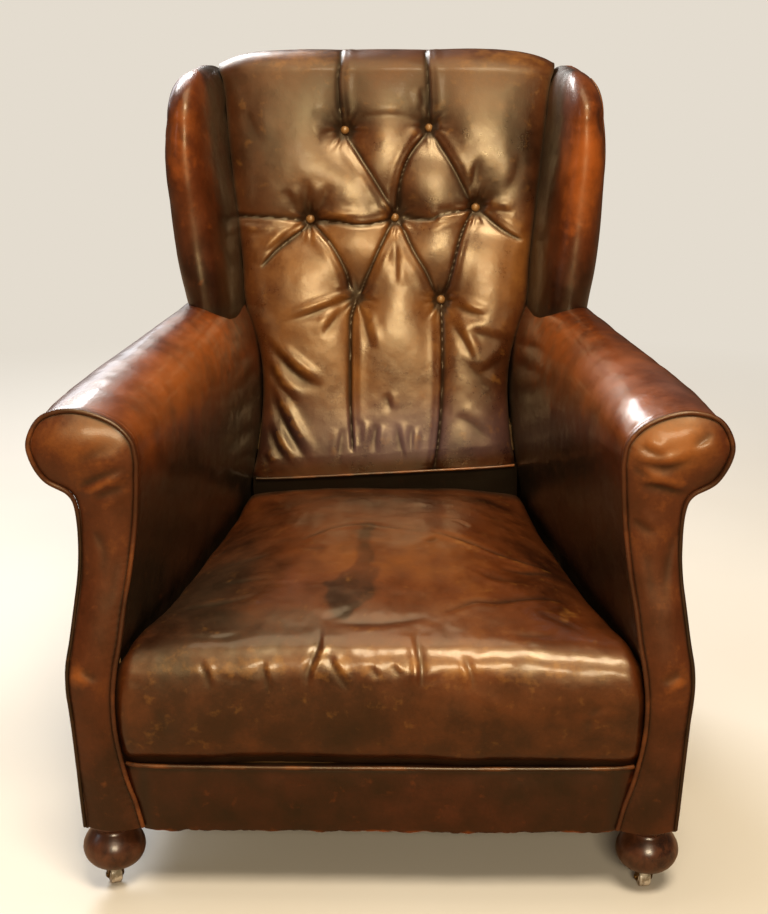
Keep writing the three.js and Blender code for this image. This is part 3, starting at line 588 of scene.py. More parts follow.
def leather_look(name, codes, low_gloss, high_gloss, coat, shine):
    """Old polished hide: blotches, painted shade and dirt in the hollows, a painted cool sheen,
    rubbed ridges, pores and scratches.
    """
    deep, dark, mid, light, worn = (linear(code) for code in codes.split())
    look = Look(
        name, Specular_IOR_Level=shine, Specular_Tint=(1.0, 0.8, 0.5, 1.0),
        Coat_Weight=coat, Coat_Roughness=0.14, Coat_Tint=(1.0, 0.94, 0.86, 1.0),
    )
    blotch = look.noise(6.5, distortion=0.4)
    cloud = look.noise(24.0, 4.0)
    speck = look.noise(210.0)
    shade_and_dirt = look.mask("shade_and_dirt")
    value = look.total(
        (look.centred(blotch), 0.6), (look.centred(cloud), 0.5), (look.centred(speck), 0.16),
        # Own tone, and painted light and shade from the mesh, shift the colour.
        (look.mask("tone"), 0.5), 0.45,
    )
    colour = look.ramp(value, (0.0, deep), (0.22, dark), (0.5, mid), (0.85, light))
    patchy = look.spread(cloud, 0.3, 0.65, 0.55, 1.0)
    # A painted cool sheen: a grey-violet colour laid where its mask says.
    colour = look.lay(colour, linear("6c575a"), look.mask("cool"), patchy)
    rub = look.total(look.mask("worn"), look.centred(look.noise(60.0, 5.0)))
    rub = look.spread(rub, 0.12, 0.75)
    colour = look.lay(colour, worn, rub, 0.85)
    # Painted shade and dirt: the deepest colour laid into the hollows.
    colour = look.lay(colour, deep, shade_and_dirt, 0.88)
    scratch = look.spread(look.noise(30.0, 6.0, 0.7, (1.0, 1.0, 9.0), 1.2), 0.66, 0.72)
    colour = look.lay(colour, light, scratch, 0.16)
    rough = look.spread(look.total(cloud, (speck, 0.3)), 0.45, 0.85, low_gloss, high_gloss)
    rough = look.total(rough, (shade_and_dirt, 0.14), (rub, 0.05), (look.mask("dull"), 0.3))
    pores = look.node("TexVoronoi", {"Vector": look.place, "Scale": 620.0}).outputs["Distance"]
    grain = look.bump(look.total((pores, 0.8), look.noise(900.0, 2.0)), 0.12, 0.0005)
    return look.finish(colour, rough, look.bump(look.noise(95.0, 4.0), 0.09, 0.0016, Normal=grain))


def wood_look(name, dark, light, gloss, coat, stretch):
    look = Look(name, Coat_Weight=coat, Coat_Roughness=0.18)
    grain = look.noise(90.0, 6.0, 0.65, stretch, 0.6)
    band = look.noise(14.0, 3.0, 0.5, stretch)
    light = linear(light)
    colour = look.ramp(look.total((grain, 0.65), (band, 0.4)), (0.35, linear(dark)), (0.62, light))
    colour = look.lay(colour, light, look.spread(look.noise(55.0, 5.0), 0.56, 0.72), 0.3)
    rough = look.spread(band, 0.3, 0.7, gloss - 0.06, gloss + 0.12)
    return look.finish(colour, rough, look.bump(grain, 0.2, 0.0005))


def brass_look():
    look = Look("dull brass", Metallic=1.0)
    patch = look.noise(70.0, 5.0)
    colour = look.ramp(patch, (0.35, linear("4a3a20")), (0.6, linear("9a7b45")))
    rough = look.spread(look.noise(300.0, 4.0), 0.35, 0.7, 0.28, 0.5)
    return look.finish(colour, rough, look.bump(patch, 0.25, 0.0004))


def ceramic_look():
    look = Look("cream castor wheel", Coat_Weight=0.4, Coat_Roughness=0.12)
    stain = look.noise(120.0, 5.0)
    colour = look.ramp(stain, (0.38, linear("8f8674")), (0.58, linear("ded8ca")))
    rough = look.spread(stain, 0.3, 0.7, 0.2, 0.42)
    return look.finish(colour, rough, look.bump(stain, 0.1, 0.0003))


def weave_look(name, dark, light, pitch):
    """Plain weave: two crossed rows of threads about pitch metres apart."""
    look = Look(name, Sheen_Weight=0.2)
    parts = look.node("SeparateXYZ", {"Vector": look.place}).outputs
    turn = 2 * math.pi / pitch
    rows = []
    for axis in (0, 1):
        run = look.math("MULTIPLY", look.math("ADD", parts[axis], parts[2]), turn)
        rows.append(look.math("SINE", run))
    weave = look.total((look.math("MULTIPLY", *rows), 0.35), look.noise(800.0, 2.0))
    value = look.total((weave, 0.5), (look.noise(9.0, 4.0), 0.5))
    colour = look.ramp(value, (0.3, linear(dark)), (0.7, linear(light)))
    return look.finish(colour, 0.9, look.bump(weave, 0.4, 0.0005))


# Each leather: its name, its colours from the deepest to the worn one, the range of its
# roughness, its coat and its shine.
LEATHERS = {
    "leather": ("dark brown leather", "0c0402 2b0c03 4a1c09 703611 8a4418", 0.3, 0.44, 0.2, 0.6),
    "wing_leather": ("wing leather", "0b0402 280e05 52240c 8c4818 9e501a", 0.34, 0.48, 0.2, 0.6),
    "facing_leather": (
        "facing leather", "0b0402 280e05 4c210c 844a1a 965422", 0.36, 0.5, 0.12, 0.6,
    ),
    "shaded_leather": ("shaded leather", "080301 150702 240e05 351808 4a230e", 0.6, 0.75, 0.0, 0.15),
    "arm_leather": ("arm leather", "0b0402 280e05 52240c 8c4818 9e501a", 0.3, 0.44, 0.34, 0.6),
    "back_leather": (
        "tufted back leather", "0f0502 281005 4a250e 7a4b1e 96642a", 0.25, 0.35, 0.06, 0.8,
    ),
    "seat_leather": ("seat leather", "0e0402 2c1105 572a0f 824c1e a87434", 0.28, 0.42, 0.25, 0.7),
    "welt_leather": ("welt leather", "110602 2a1106 4a220e 6e3a18 864a20", 0.36, 0.52, 0.2, 0.6),
    "button_leather": (
        "button leather", "1a0d05 371e0c 543317 78522b 8a6334", 0.3, 0.44, 0.2, 0.6,
    ),
}
LOOKS = {key: leather_look(*row) for key, row in LEATHERS.items()}
LOOKS["frame_wood"] = wood_look("frame beech", "8a6238", "c39a66", 0.6, 0.0, (0.08, 1, 1))
LOOKS["foot_wood"] = wood_look("dark turned wood", "1e0e08", "54301c", 0.3, 0.3, (1, 1, 0.5))
LOOKS["castor_brass"] = brass_look()
LOOKS["castor_wheel"] = ceramic_look()
LOOKS["jute"] = weave_look("jute", "5e4a30", "a88a5c", 0.0022)
LOOKS["dust_cloth"] = weave_look("black dust cloth", "0c0b0b", "2a2827", 0.0011)


# The inside back. Each pleat has its places (x, height), how deep it is pulled along its
# run, and the side on which its upper fold lies.
PLEATS = [
    ([(-66, 1016), (-66, 984), (-70, 939), (-65, 888), (-61, 875)], (2, 5, 7, 9, 17), 1),
    ([(59, 1016), (59, 984), (62, 930), (63, 885), (62.4, 879.5)], (2, 5, 7, 9, 17), 1),
    ([(-60.8, 875), (-57, 866), (-23, 813), (10, 762), (13.6, 752)], (17, 9, 7, 9, 17), -1),
    ([(62.4, 879.5), (55, 868), (33, 837), (21, 804), (15, 762)], (17, 9, 7, 9, 17), -1),
    ([(62.4, 879.5), (70, 866), (93, 832), (124, 777), (131.6, 767)], (17, 8, 6, 8, 17), 1),
    ([(-222, 751), (-158, 750), (-117, 746)], (8, 6, 6, 9, 16), -1),
    ([(-112, 749), (-73, 746), (-35, 741), (2, 749), (13.6, 752)], (16, 8, 6, 8, 16), 1),
    ([(24, 752), (65, 749), (81, 755), (124, 764), (131.6, 767)], (16, 8, 6, 8, 16), -1),
    ([(-110, 745), (-101, 736), (-79, 711), (-60, 677), (-53, 652)], (15, 8, 6, 8, 11), -1),
    ([(10, 745), (6, 738), (-10, 705), (-23, 676), (-38, 643)], (15, 8, 6, 8, 11), 1),
    ([(18, 746), (24, 738), (40, 705), (58, 676), (71, 650), (82, 634)], (15, 8, 6, 8, 16), -1),
    ([(129, 760), (121, 750), (109, 720), (98, 676), (92, 656), (84, 640)], (15, 8, 6, 8, 16), 1),
    ([(-42, 637), (-50, 609), (-51, 560), (-51, 488), (-47, 416)], (12, 9, 6, 4, 1), 1),
    ([(82, 632), (83, 600), (84, 532), (81, 460), (73, 390)], (17, 10, 7, 6, 6), -1),
    ([(140, 760), (175, 732), (203, 717)], (12, 6, 3), 1),
    ([(-118, 738), (-158, 707), (-186, 677)], (12, 6, 3), -1),
]

# Smaller folds and creases of the inside back: places, depth, width, lip and lip side.
BACK_FOLDS = [
    ([(-142, 727), (-177, 698)], 1.3, 4, 0.8, -1),
    ([(-101, 748), (-73, 748), (-45, 747)], 1.6, 3, 1.6, 1),
    ([(13, 729), (15, 677), (16, 652)], 0.9, 4, 0.5, 1),
    ([(-108, 902), (-88, 893), (-72, 884)], 0.6, 6, 0.4, 1),
    ([(-100, 860), (-88, 866), (-74, 871)], 0.6, 6, 0.4, 1),
    ([(50, 936), (54, 920), (56, 903)], 1.4, 3.4, 0.8, -1),
    ([(146, 762), (165, 761), (190, 757)], 1.5, 4, 1.0, 1),
    ([(124, 789), (130, 812), (135, 838)], 1.3, 4.5, 0.6, 1),
    ([(-117, 765), (-116, 786), (-114, 807)], 1.2, 4.5, 0.6, -1),
    ([(-129, 762), (-140, 777), (-148, 792)], 1.2, 4.5, 0.6, -1),
    ([(-97, 765), (-88, 785), (-84, 800)], 0.9, 5, 0.5, 1),
    ([(-41, 642), (-71, 629), (-109, 615), (-157, 599)], 2.2, 4, 1.4, -1),
    ([(-59, 627), (-77, 604), (-95, 578)], 1.4, 5, 0.8, -1),
    ([(-35, 627), (-29, 595), (-17, 561)], 1.6, 4.5, 0.9, 1),
    ([(98, 633), (122, 618), (151, 610)], 1.8, 4, 1.2, 1),
    ([(95, 610), (116, 575), (131, 544)], 1.8, 4.5, 1.1, 1),
    ([(-178, 577), (-148, 543), (-118, 520), (-89, 508)], 2.8, 5.5, 2.0, 1),
    ([(-176, 548), (-158, 512), (-126, 480)], 2.2, 5, 1.4, 1),
    ([(-173, 517), (-157, 473), (-133, 430), (-110, 398)], 3.0, 5.5, 2.2, 1),
    ([(-175, 459), (-160, 421), (-136, 392)], 2.6, 5, 1.8, 1),
    ([(-184, 412), (-169, 392)], 1.8, 4, 1.0, 1),
    ([(-35, 465), (-36, 446), (-35, 420)], 1.0, 3.5, 0.7, 1),
    ([(-11, 459), (-14, 438), (-15, 412)], 1.1, 3.5, 0.7, 1),
    ([(16, 460), (22, 430), (31, 400)], 1.3, 4, 0.8, 1),
    ([(1, 503), (5, 488), (10, 474)], 0.9, 4, 0.4, 1),
    ([(40, 456), (38, 432), (37, 404)], 0.9, 3.5, 0.6, 1),
    ([(-62, 452), (-66, 428), (-68, 402)], 0.8, 4, 0.5, -1),
    ([(134, 526), (160, 540), (190, 555)], 1.2, 6, 0.7, 1),
    ([(113, 590), (152, 582), (193, 570)], 1.2, 6, 0.7, 1),
    ([(104, 560), (140, 520), (168, 486)], 1.0, 7, 0.6, 1),
    ([(100, 470), (130, 455), (160, 425)], 1.1, 6, 0.7, 1),
    ([(-50, 884), (-20, 893), (20, 893), (50, 886)], 1.1, 6, 0.6, 1),
    ([(71, 759), (90, 762), (112, 765)], 1.0, 3, 0.8, -1),
    ([(-214, 742), (-190, 741), (-165, 743)], 0.8, 3, 0.5, -1),
    ([(-206, 905), (-196, 880), (-180, 850)], 1.0, 7, 0.5, 1),
    ([(196, 850), (190, 810), (170, 780)], 0.9, 7, 0.5, -1),
]
# The step between the cells of the inside back, its rows below the roll and those behind it.
BACK_STEP = 2.4
UPRIGHT_ROWS = 226
FALL_ROWS = 7


def inside_back_base():
    """The plain surface of the inside back: shares across, run up and over, and points."""
    u = np.linspace(-1, 1, 201)[None, :]
    guess = u * 215
    tangent = math.atan(BACK_LEAN * ROLL_UP / (ROLL_DEEP + 8))
    axis_z = back_top_z(guess) - ROLL_UP
    top = axis_z + ROLL_UP * math.sin(tangent)
    foot = back_foot_z(guess)
    z = foot + (top - foot) * np.linspace(0, 1, UPRIGHT_ROWS)[:, None]
    low = np.clip((z - foot) / 30, 0, 1)
    y = inside_back_y(z) + 4 - BACK_CROWN * (1 - np.abs(u) ** 5) * (0.4 + 0.6 * low)

    turn = np.linspace(tangent, math.pi, 46)[1:, None]
    axis_y = inside_back_y(axis_z) + ROLL_DEEP
    front = (axis_y - y[-1:]) / math.cos(tangent)
    deep = np.where(turn < math.pi / 2, front, ROLL_DEEP)
    over_run = top + (turn - tangent) * 42.0
    fall = np.linspace(0, 1, FALL_ROWS + 1)[1:, None]
    run = np.vstack([z, over_run, over_run[-1:] + (axis_z - ROLL_FOOT_Z) * fall])
    y = np.vstack([y, axis_y - deep * np.cos(turn), axis_y + ROLL_DEEP + 0 * fall])
    z = np.vstack([z, axis_z + ROLL_UP * np.sin(turn), axis_z + (ROLL_FOOT_Z - axis_z) * fall])
    x = u * (graded(BACK_HALF_WIDTH, z) + 0.8)
    return np.broadcast_to(u, x.shape), run, np.stack([x, y, z], axis=2)


def add_inside_back():
    """A skin that is pulled down at the buttons and pleats, then given its folds."""
    u, run, base = inside_back_base()
    x = base[..., 0]
    relief = Relief(x, run)
    tufts = [*BUTTONS, BARE_TUFT]
    away = [np.hypot(x - bx, run - bz) for bx, bz in tufts]
    edge = np.clip((np.abs(u) - 0.945) / 0.055, 0, 1)
    rest = -9 * edge**2 - 11 * hump(run, back_foot_z(x), 6.0)
    rest += 1.3 * hills(x, run, 85, 11) + 5.0 * ease((run - 480) / 120) * ease((940 - run) / 70)
    for k, far in enumerate(away):
        rest -= 8.5 * hump(far, 0, 50)
        rest += (2.4 if k == 0 else 0.9) * hump(far, 62, 17)
    pinned = np.abs(u) > 0.999
    value = np.where(pinned, rest, 0.0)
    for points, depths, _ in PLEATS:
        cells, far, share = relief.near(points, 6)
        on_line = np.abs(far) < 0.62 * BACK_STEP
        place = tuple(axis[on_line] for axis in cells)
        depth = np.interp(share[on_line], np.linspace(0, 1, len(depths)), depths)
        level = rest[place] * 0.5 - depth
        value[place] = np.where(pinned[place], np.minimum(value[place], level), level)
        pinned[place] = True
    for far, (depth, size) in zip(away, [*[(20, 8.0)] * len(BUTTONS), (14, 4.0)]):
        value[far < size] = -depth
        pinned |= far < size
    relief.height = blur(relax(rest, pinned, value, 26 / BACK_STEP, 700), 1)

    for points, depths, side in PLEATS:
        fade = (0.04, 0.25 if len(depths) == 3 else 0.05)
        relief.fold(points, 2.4, 2.2, 0.8, side, fade, 0.05, 0.75)
        relief.fold(points, 0.0, 6.5, 1.3, side, fade, 0.0, 0.12)
    relief.folds(BACK_FOLDS, (0.35, 0.45), 0.03, 0.14, (1.05, 1.3, 1.3))
    for k, ((bx, bz), far) in enumerate(zip(tufts, away)):
        angle = np.arctan2(run - bz, x - bx)
        lobes = 0.6 * np.sin(11 * angle + k) + 0.4 * np.sin(17 * angle + 2.3 * k)
        relief.height += 0.9 * lobes * hump(far, 17, 11)
        # Painted shade and dirt in each button's pit, and painted shade on the crater's upper slope,
        # which faces down.
        relief.add_shade_and_dirt(0.8 * hump(far, 0, 13))
        crater_shade = ease((run - bz + 12) / 34) * hump(far, 0, 46)
        relief.tone -= 0.5 * crater_shade
        relief.add_shade_and_dirt(0.5 * crater_shade * (far > 8))
    relief.rough((0.2, 24, 12), (0.03, 8, 13))
    relief.shade_and_age(5, 0.3, 0.12)
    # Painted shade in the crevices at the back's sides beside the wings.
    relief.add_shade_and_dirt(ease((np.abs(u) - 0.972) / 0.026) * 0.9)
    # The lighter middle is partly a painted golden sheen, and the darker patches beside the wings are
    # painted shade.
    relief.spots(
        "tone", (-10, 600, 150, 150, 0.4), (-100, 690, 90, 60, 0.25), (120, 640, 70, 60, 0.2),
        (160, 520, 50, 90, -0.2), (-190, 850, 40, 120, -0.35), (200, 850, 45, 120, -0.35),
        (0, 425, 190, 45, -0.35), (-170, 450, 60, 80, -0.25), (180, 700, 40, 80, 0.35),
        (0, 950, 230, 46, 0.1),
    )
    relief.spots("dull", (0, 955, 260, 44, 1.0), (-150, 860, 60, 60, 0.4))
    # A painted cool sheen low on the back, faded out at its foot.
    relief.spots("cool", (30, 440, 130, 46, 0.75))
    relief.cool *= ease((run - back_foot_z(x) - 6) / 22)
    relief.spots("worn", (-135, 990, 60, 28, 0.35), (165, 985, 50, 26, 0.35))
    relief.height[-FALL_ROWS:] *= 0.3
    grid = relief.lift(base, grid_normals(base))
    inward = np.zeros_like(grid)
    inward[..., 1] = np.clip(outside_back_y(grid[..., 2]) - 14 - grid[..., 1], -12, 46)
    roll = grid[UPRIGHT_ROWS:]
    roll_z = back_top_z(roll[..., 0]) - ROLL_UP
    roll_y = inside_back_y(roll_z) + ROLL_DEEP
    inward[UPRIGHT_ROWS:, :, 1] = 0.85 * (roll_y - roll[..., 1])
    inward[UPRIGHT_ROWS:, :, 2] = 0.85 * (roll_z - roll[..., 2])
    inward[-1] = (0, -8.0, 0)
    inward[0, :, 2] = 4.0
    core = (0, inside_back_y(650.0) + 40, 650)
    piece = pad_piece("inside_back", grid, relief, inward, core, "back_leather", "tufted_back")
    return x, run, grid


BUTTON_PROFILE = [
    (0, -2.4), (5.2, -2.4), (6.3, -1.2), (BUTTON_RADIUS, 0.2), (6.5, 1.5), (5.4, 2.8), (3.8, 3.8),
    (2.0, 4.35), (0, 4.5),
]


def add_buttons(x, run, grid):
    """Leather-covered domes, each sitting in its tuft."""
    for k, (bx, bz) in enumerate(BUTTONS):
        points, faces = turned_mesh(BUTTON_PROFILE, 32)
        points[:, 2] *= 1 + 0.06 * math.sin(2.0 * k)
        angle = np.arctan2(points[:, 1], points[:, 0])
        far = np.hypot(points[:, 0], points[:, 1])
        points[:, 2] += 0.22 * np.sin(9 * angle + k) * (far / BUTTON_RADIUS) ** 2
        worn = 0.7 * (1 - (far / BUTTON_RADIUS) ** 2) * (points[:, 2] > 0)
        seat = grid.reshape(-1, 3)[np.argmin(np.hypot(x - bx, run - bz))]
        lean = math.atan(BACK_LEAN) + 0.1 * math.sin(3.1 * k)
        out = np.array([0.08 * math.cos(5.0 * k), -math.cos(lean), math.sin(lean)])
        out /= np.linalg.norm(out)
        side = np.cross((0, 0, 1), out)
        side /= np.linalg.norm(side)
        placed = points @ np.array([side, np.cross(out, side), out]) + seat + 2.2 * out
        # Each button's rim, which sinks into its tuft, gets painted shade.
        fields = {"worn": worn, "shade_and_dirt": (far > 6.2) * 0.5, "tone": 0.2 + 0 * far}
        replaces = [f"back_button_{k + 1}"]
        make_piece(
            f"button_{k + 1}", placed, faces, "button_leather", BODY, fields, replaces, 75,
        )


# Seat: creases are placed by x and by the run from the front hem up and back.
SEAT_FOLDS = [
    ([(-114, 385), (-91, 402), (-67, 424), (-22, 438), (-3, 430), (58, 412)], 2.4, 5, 1.4, -1),
    (
        [(58, 412), (80, 405), (116, 384), (151, 366), (181, 364), (221, 368), (247, 370)],
        3.0, 5, 2.0, -1,
    ),
    ([(143, 322), (178, 328), (209, 352), (235, 358)], 2.2, 5, 1.2, 1),
    (
        [(62, 205), (93, 220), (115, 234), (144, 237), (187, 258), (221, 270), (247, 262)],
        2.4, 5, 1.4, -1,
    ),
    ([(190, 228), (215, 216), (243, 199)], 1.0, 5, 0.3, 1),
    ([(-71, 195), (-49, 207), (-37, 220)], 1.0, 7, 0.3, 1),
    ([(-71, 195), (-20, 190), (30, 196), (62, 205)], 1.0, 6, 0.6, -1),
    ([(-212, 141), (-204, 123), (-197, 100)], 1.2, 3.2, 0.8, 1),
    ([(-138, 139), (-135, 121), (-128, 98)], 1.4, 3.2, 0.9, 1),
    ([(-71, 195), (-72, 159), (-79, 136), (-84, 120), (-84, 96)], 2.0, 3.6, 1.2, 1),
    ([(-61, 144), (-47, 121), (-33, 100)], 1.6, 3.4, 1.0, 1),
    ([(-12, 133), (0, 118)], 1.0, 3.0, 0.6, 1),
    ([(40, 180), (46, 148), (49, 126), (47, 98)], 1.8, 3.6, 1.1, -1),
    ([(97, 147), (106, 127), (111, 104)], 1.4, 3.2, 0.9, -1),
    ([(14, 135), (25, 121)], 1.0, 3.0, 0.6, 1),
    ([(-252, 250), (-238, 255), (-215, 249), (-169, 247), (-145, 259)], 1.3, 4.5, 0.7, 1),
    ([(-207, 304), (-168, 294), (-131, 288)], 1.2, 4.5, 0.6, 1),
    ([(-209, 366), (-170, 358), (-141, 361)], 1.0, 4.5, 0.5, 1),
    ([(-232, 435), (-208, 442)], 1.0, 4.5, 0.5, 1),
    ([(-108, 360), (-64, 355)], 0.9, 4.5, 0.4, 1),
    ([(56, 373), (66, 384), (72, 396)], 1.4, 4, 0.8, 1),
    ([(94, 469), (108, 455), (117, 439)], 1.2, 4, 0.7, 1),
    ([(150, 180), (180, 176), (215, 184)], 1.0, 5, 0.6, 1),
    ([(-240, 180), (-200, 172), (-160, 178)], 0.9, 5, 0.5, 1),
    ([(120, 300), (150, 292), (185, 300)], 0.9, 5, 0.5, -1),
    ([(262, 90), (250, 70), (246, 40)], 1.2, 6, 0.6, 1),
    ([(-268, 84), (-258, 60), (-256, 34)], 1.2, 6, 0.6, -1),
    ([(-60, 60), (-64, 36), (-62, 12)], 0.8, 6, 0.4, 1),
    ([(120, 66), (126, 40), (122, 12)], 0.8, 6, 0.4, 1),
]
SEAT_STAIN = [(-20, 432), (-21, 363), (-22, 306), (-36, 256), (-46, 215)]


def add_seat():
    rows = spline(SEAT_ROWS, even_shares([row[:2] for row in SEAT_ROWS], 226))
    u = np.linspace(-1, 1, 207)[None, :]
    y, middle, sides, half = (rows[:, k:k + 1] for k in range(4))
    half = half + 1.5 + 8 * hump(y, 40, 80)
    x = u * half
    front = ease((30 - y) / 40)
    rounding = np.clip((np.abs(x) - half + 20) / 20, 0, 1)
    z = sides + (middle - sides) * (1 - np.abs(u) ** 2.6) - (1 - front) * 20 * rounding**2.4
    y = y + front * 17 * rounding**2.4 + 0 * x
    base = np.stack([x, y, z], axis=2)
    run = run_along(rows[:, :2])[:, None] + 0 * x
    relief = Relief(x, run)
    relief.rough((1.8, 120, 21), (0.7, 46, 22), (0.25, 17, 23))
    fine = np.clip(noise(x, run, 60, 27) + 0.2, 0, 1)
    bent = run * 2.6 + 30 * noise(x, run, 50, 25)
    relief.height += 0.5 * fine * noise(x + 0.5 * run, bent, 24, 26)
    relief.folds(SEAT_FOLDS, (0.35, 0.35), 0.04, 0.2, (0.85, 1, 1))
    relief.shade_and_age(5, 0.3, 0.05)
    relief.height -= 6 * hump(run, 0, 9)
    # Painted shade where the seat's sides curve down by the arms and where its rear tucks under the
    # back.
    relief.add_shade_and_dirt(ease((rounding - 0.45) / 0.5) * 0.95)
    relief.add_shade_and_dirt(ease((run - 640) / 30))
    relief.add_shade_and_dirt(0.85 * hump(run, 0, 8))
    cells, far, share = relief.near(SEAT_STAIN, 60)
    width = 14 + 22 * hump(share, 0.75, 0.2)
    edge = noise(relief.u[cells], relief.v[cells], 14, 28) * 6
    relief.tone[cells] -= 0.45 * ease((width - np.abs(far) + edge) / 9)
    # The darker patches at the seat's sides, by the arms, are painted shade.
    relief.spots(
        "tone", (20, 320, 170, 110, 0.35), (0, 50, 300, 60, -0.5), (-215, 280, 85, 170, -0.8),
        (215, 330, 70, 150, -0.45), (0, 570, 200, 60, -0.25), (0, 136, 230, 16, 0.35),
    )
    relief.worn += 0.2 * hump(run, 132, 15) * (1 - np.abs(u) ** 6)
    relief.spots("worn", (232, 232, 18, 14, 0.2))
    # Painted shade on the seat's left side, which is also rougher.
    relief.spots("shade_and_dirt", (-225, 300, 70, 170, 0.3))
    relief.spots("dull", (-215, 310, 90, 170, 0.8))
    grid = relief.lift(base, grid_normals(base))
    inward = np.zeros_like(grid)
    inward[..., 2] = -16.0
    inward[0, :, 1:] = (5.0, -7.0)
    core = (0, 260, 306)
    solids = ("seat_cover", "seat_stuffing")
    piece = pad_piece("sprung_seat", grid, relief, inward, core, "seat_leather", *solids)


# Arms.
def arm_blend(t, outer_share):
    """How far a section has changed from the front one to the back one."""
    even = min(t, 1.0)
    late = 0.5 * even**1.3 + 0.5 * even * even * (3 - 2 * even)
    return even + (late - even) * outer_share + 0.6 * max(0.0, t - 1)


def arm_grid(runs, shares):
    """Points (distance from the middle, y, height) of an arm along its length and round it."""
    front = np.array(ARM_FRONT_SECTION, float)
    back = np.array(ARM_BACK_SECTION, float)
    outer = np.clip((np.arange(len(front)) - 3) / 14, 0, 1)
    rows = []
    for run in runs:
        t = run * ARM_LENGTH / ARM_SECTION_SPACING
        blend = np.array([arm_blend(t, share) for share in outer])[:, None]
        a, z = spline(front + (back - front) * blend, shares).T
        start = graded(FACING_FRONT, z) + 6 + 12 * ease((350 - z) / 25)
        y = start + (outside_back_y(z) - 6 - start) * run
        near_back = ease((y - inside_back_y(z) - 4) / 20)
        limit = graded(BACK_HALF_WIDTH, z) + 0.6
        a = a + near_back * np.maximum(0, limit - a) * (z < ARM_TOP_Z)
        rows.append(np.stack([a, y, z], axis=1))
    return np.array(rows)


def add_arm(side, s):
    """An arm's skin: arc goes round its section from inside, and run from front to back."""
    runs = np.concatenate([np.linspace(0, 0.045, 14), np.linspace(0.045, 1, 172)[1:]])
    plain = arm_grid(runs, even_shares(ARM_FRONT_SECTION, 172))
    base = plain * (s, 1, 1)
    arc = run_along(plain[0])[None, :] + 0 * runs[:, None]
    run = plain[..., 1] - plain[:1, :, 1]
    z = plain[..., 2]
    relief = Relief(arc, run)
    seed = 31 if s < 0 else 41
    relief.rough((1.1, 110, seed), (0.45, 38, seed + 2), (0.16, 13, seed + 4))
    relief.height += 1.5 * hump(run, 8.5, 2.3) - 0.9 * hump(run, 13.0, 2.2)
    swell = ease((run - 8) / 75) * (1 - ease((run - 110) / 260))
    relief.height += 5.5 * swell * hump(arc, 435, 80)
    pucker = np.sin(arc / 2.9 + 2 * noise(arc, run, 40, seed + 6))
    weight = np.clip(wander(arc, 50, seed + 7) + 0.4, 0, 1)
    relief.height += 0.28 * pucker * weight * hump(run, 22, 11)
    to_back = inside_back_y(z) - plain[..., 1]
    # Painted shade where the arm meets the back.
    relief.add_shade_and_dirt(ease((5 - to_back) / 16) * ease((430 - arc) / 20) * 0.9)
    relief.shade_and_age(4)
    relief.add_shade_and_dirt(0.7 * hump(run, 12.8, 1.7))
    relief.add_shade_and_dirt(0.7 * hump(run, 4.5, 1.7))
    # Painted shade low down, where the arm drops beside the seat.
    relief.add_shade_and_dirt(ease((350 - z) / 30) * 0.9)
    relief.spots("worn", (420, 430, 50, 95, 0.4))
    relief.spots("tone", (430, 200, 60, 260, 0.6))
    # The inner face, turned away from the light, is darkened as painted shade.
    inner = ease((385 - arc) / 90)
    relief.tone -= 0.75 * inner
    relief.add_shade_and_dirt(0.4 * inner)
    relief.tone -= 0.25 * ease((arc - 500) / 50)
    # A painted cool sheen on the outer side of the arm's top near the front.
    relief.spots("cool", (490, 110, 30, 120, 0.3))
    normals = grid_normals(base) * s
    solids = (f"arm_cover_{side}", f"arm_stuffing_{side}")
    piece = skin_piece(
        f"arm_{side}", relief.lift(base, normals), relief, base - normals * 8, "arm_leather", *solids,
    )


# Arm facings: each rung crosses the panel from its inner edge to its outer one. Places are
# counted in points of FACING_EDGE.
FACING_RUNGS = [
    (0, 31), (2, 29.6), (4, 28.2), (6, 26.1), (8, 24), (9, 23), (10, 21.8), (11, 20.7),
    (12.4, 19.7), (14, 18.9), (15, 18.3), (16, 17.85), (16.9, 17.5),
]
FACING_FOLDS = {
    "left": [
        ([(347, 546), (328, 555), (308, 565), (283, 574)], 3.0, 5, 2.2, 1),
        ([(342, 578), (319, 591), (291, 600)], 1.0, 8, 0.8, 1),
        ([(330, 532), (306, 543), (284, 553)], 1.6, 5.5, 1.2, 1),
        ([(330, 500), (318, 470), (322, 440)], 1.4, 7, 0.9, 1),
        ([(300, 470), (308, 430), (316, 395)], 1.2, 7, 0.8, -1),
        ([(352, 330), (340, 318), (326, 314)], 1.8, 6, 1.2, 1),
    ],
    "right": [
        ([(280, 585), (302, 579), (323, 577), (344, 583), (358, 593)], 2.2, 5, 2.0, 1),
        ([(283, 578), (298, 568), (313, 560)], 1.4, 5, 1.0, 1),
        ([(290, 553), (314, 553), (337, 546), (357, 540)], 2.8, 5.5, 2.2, 1),
        ([(375, 618), (362, 608), (347, 601)], 1.4, 6, 1.0, 1),
        ([(292, 603), (309, 592), (325, 591)], 1.4, 5, 1.2, 1),
        ([(287, 512), (303, 501), (320, 494)], 1.8, 6, 1.2, 1),
        ([(345, 505), (334, 470), (330, 430), (336, 395)], 1.6, 7, 1.2, 1),
        ([(305, 480), (312, 440), (318, 400)], 1.2, 7, 0.8, -1),
        ([(352, 330), (340, 318), (326, 314)], 1.8, 6, 1.2, 1),
    ],
}


def at_places(at, place, points):
    """A line's points at new places along it."""
    return np.stack([np.interp(at, place, column) for column in points.T], axis=1)


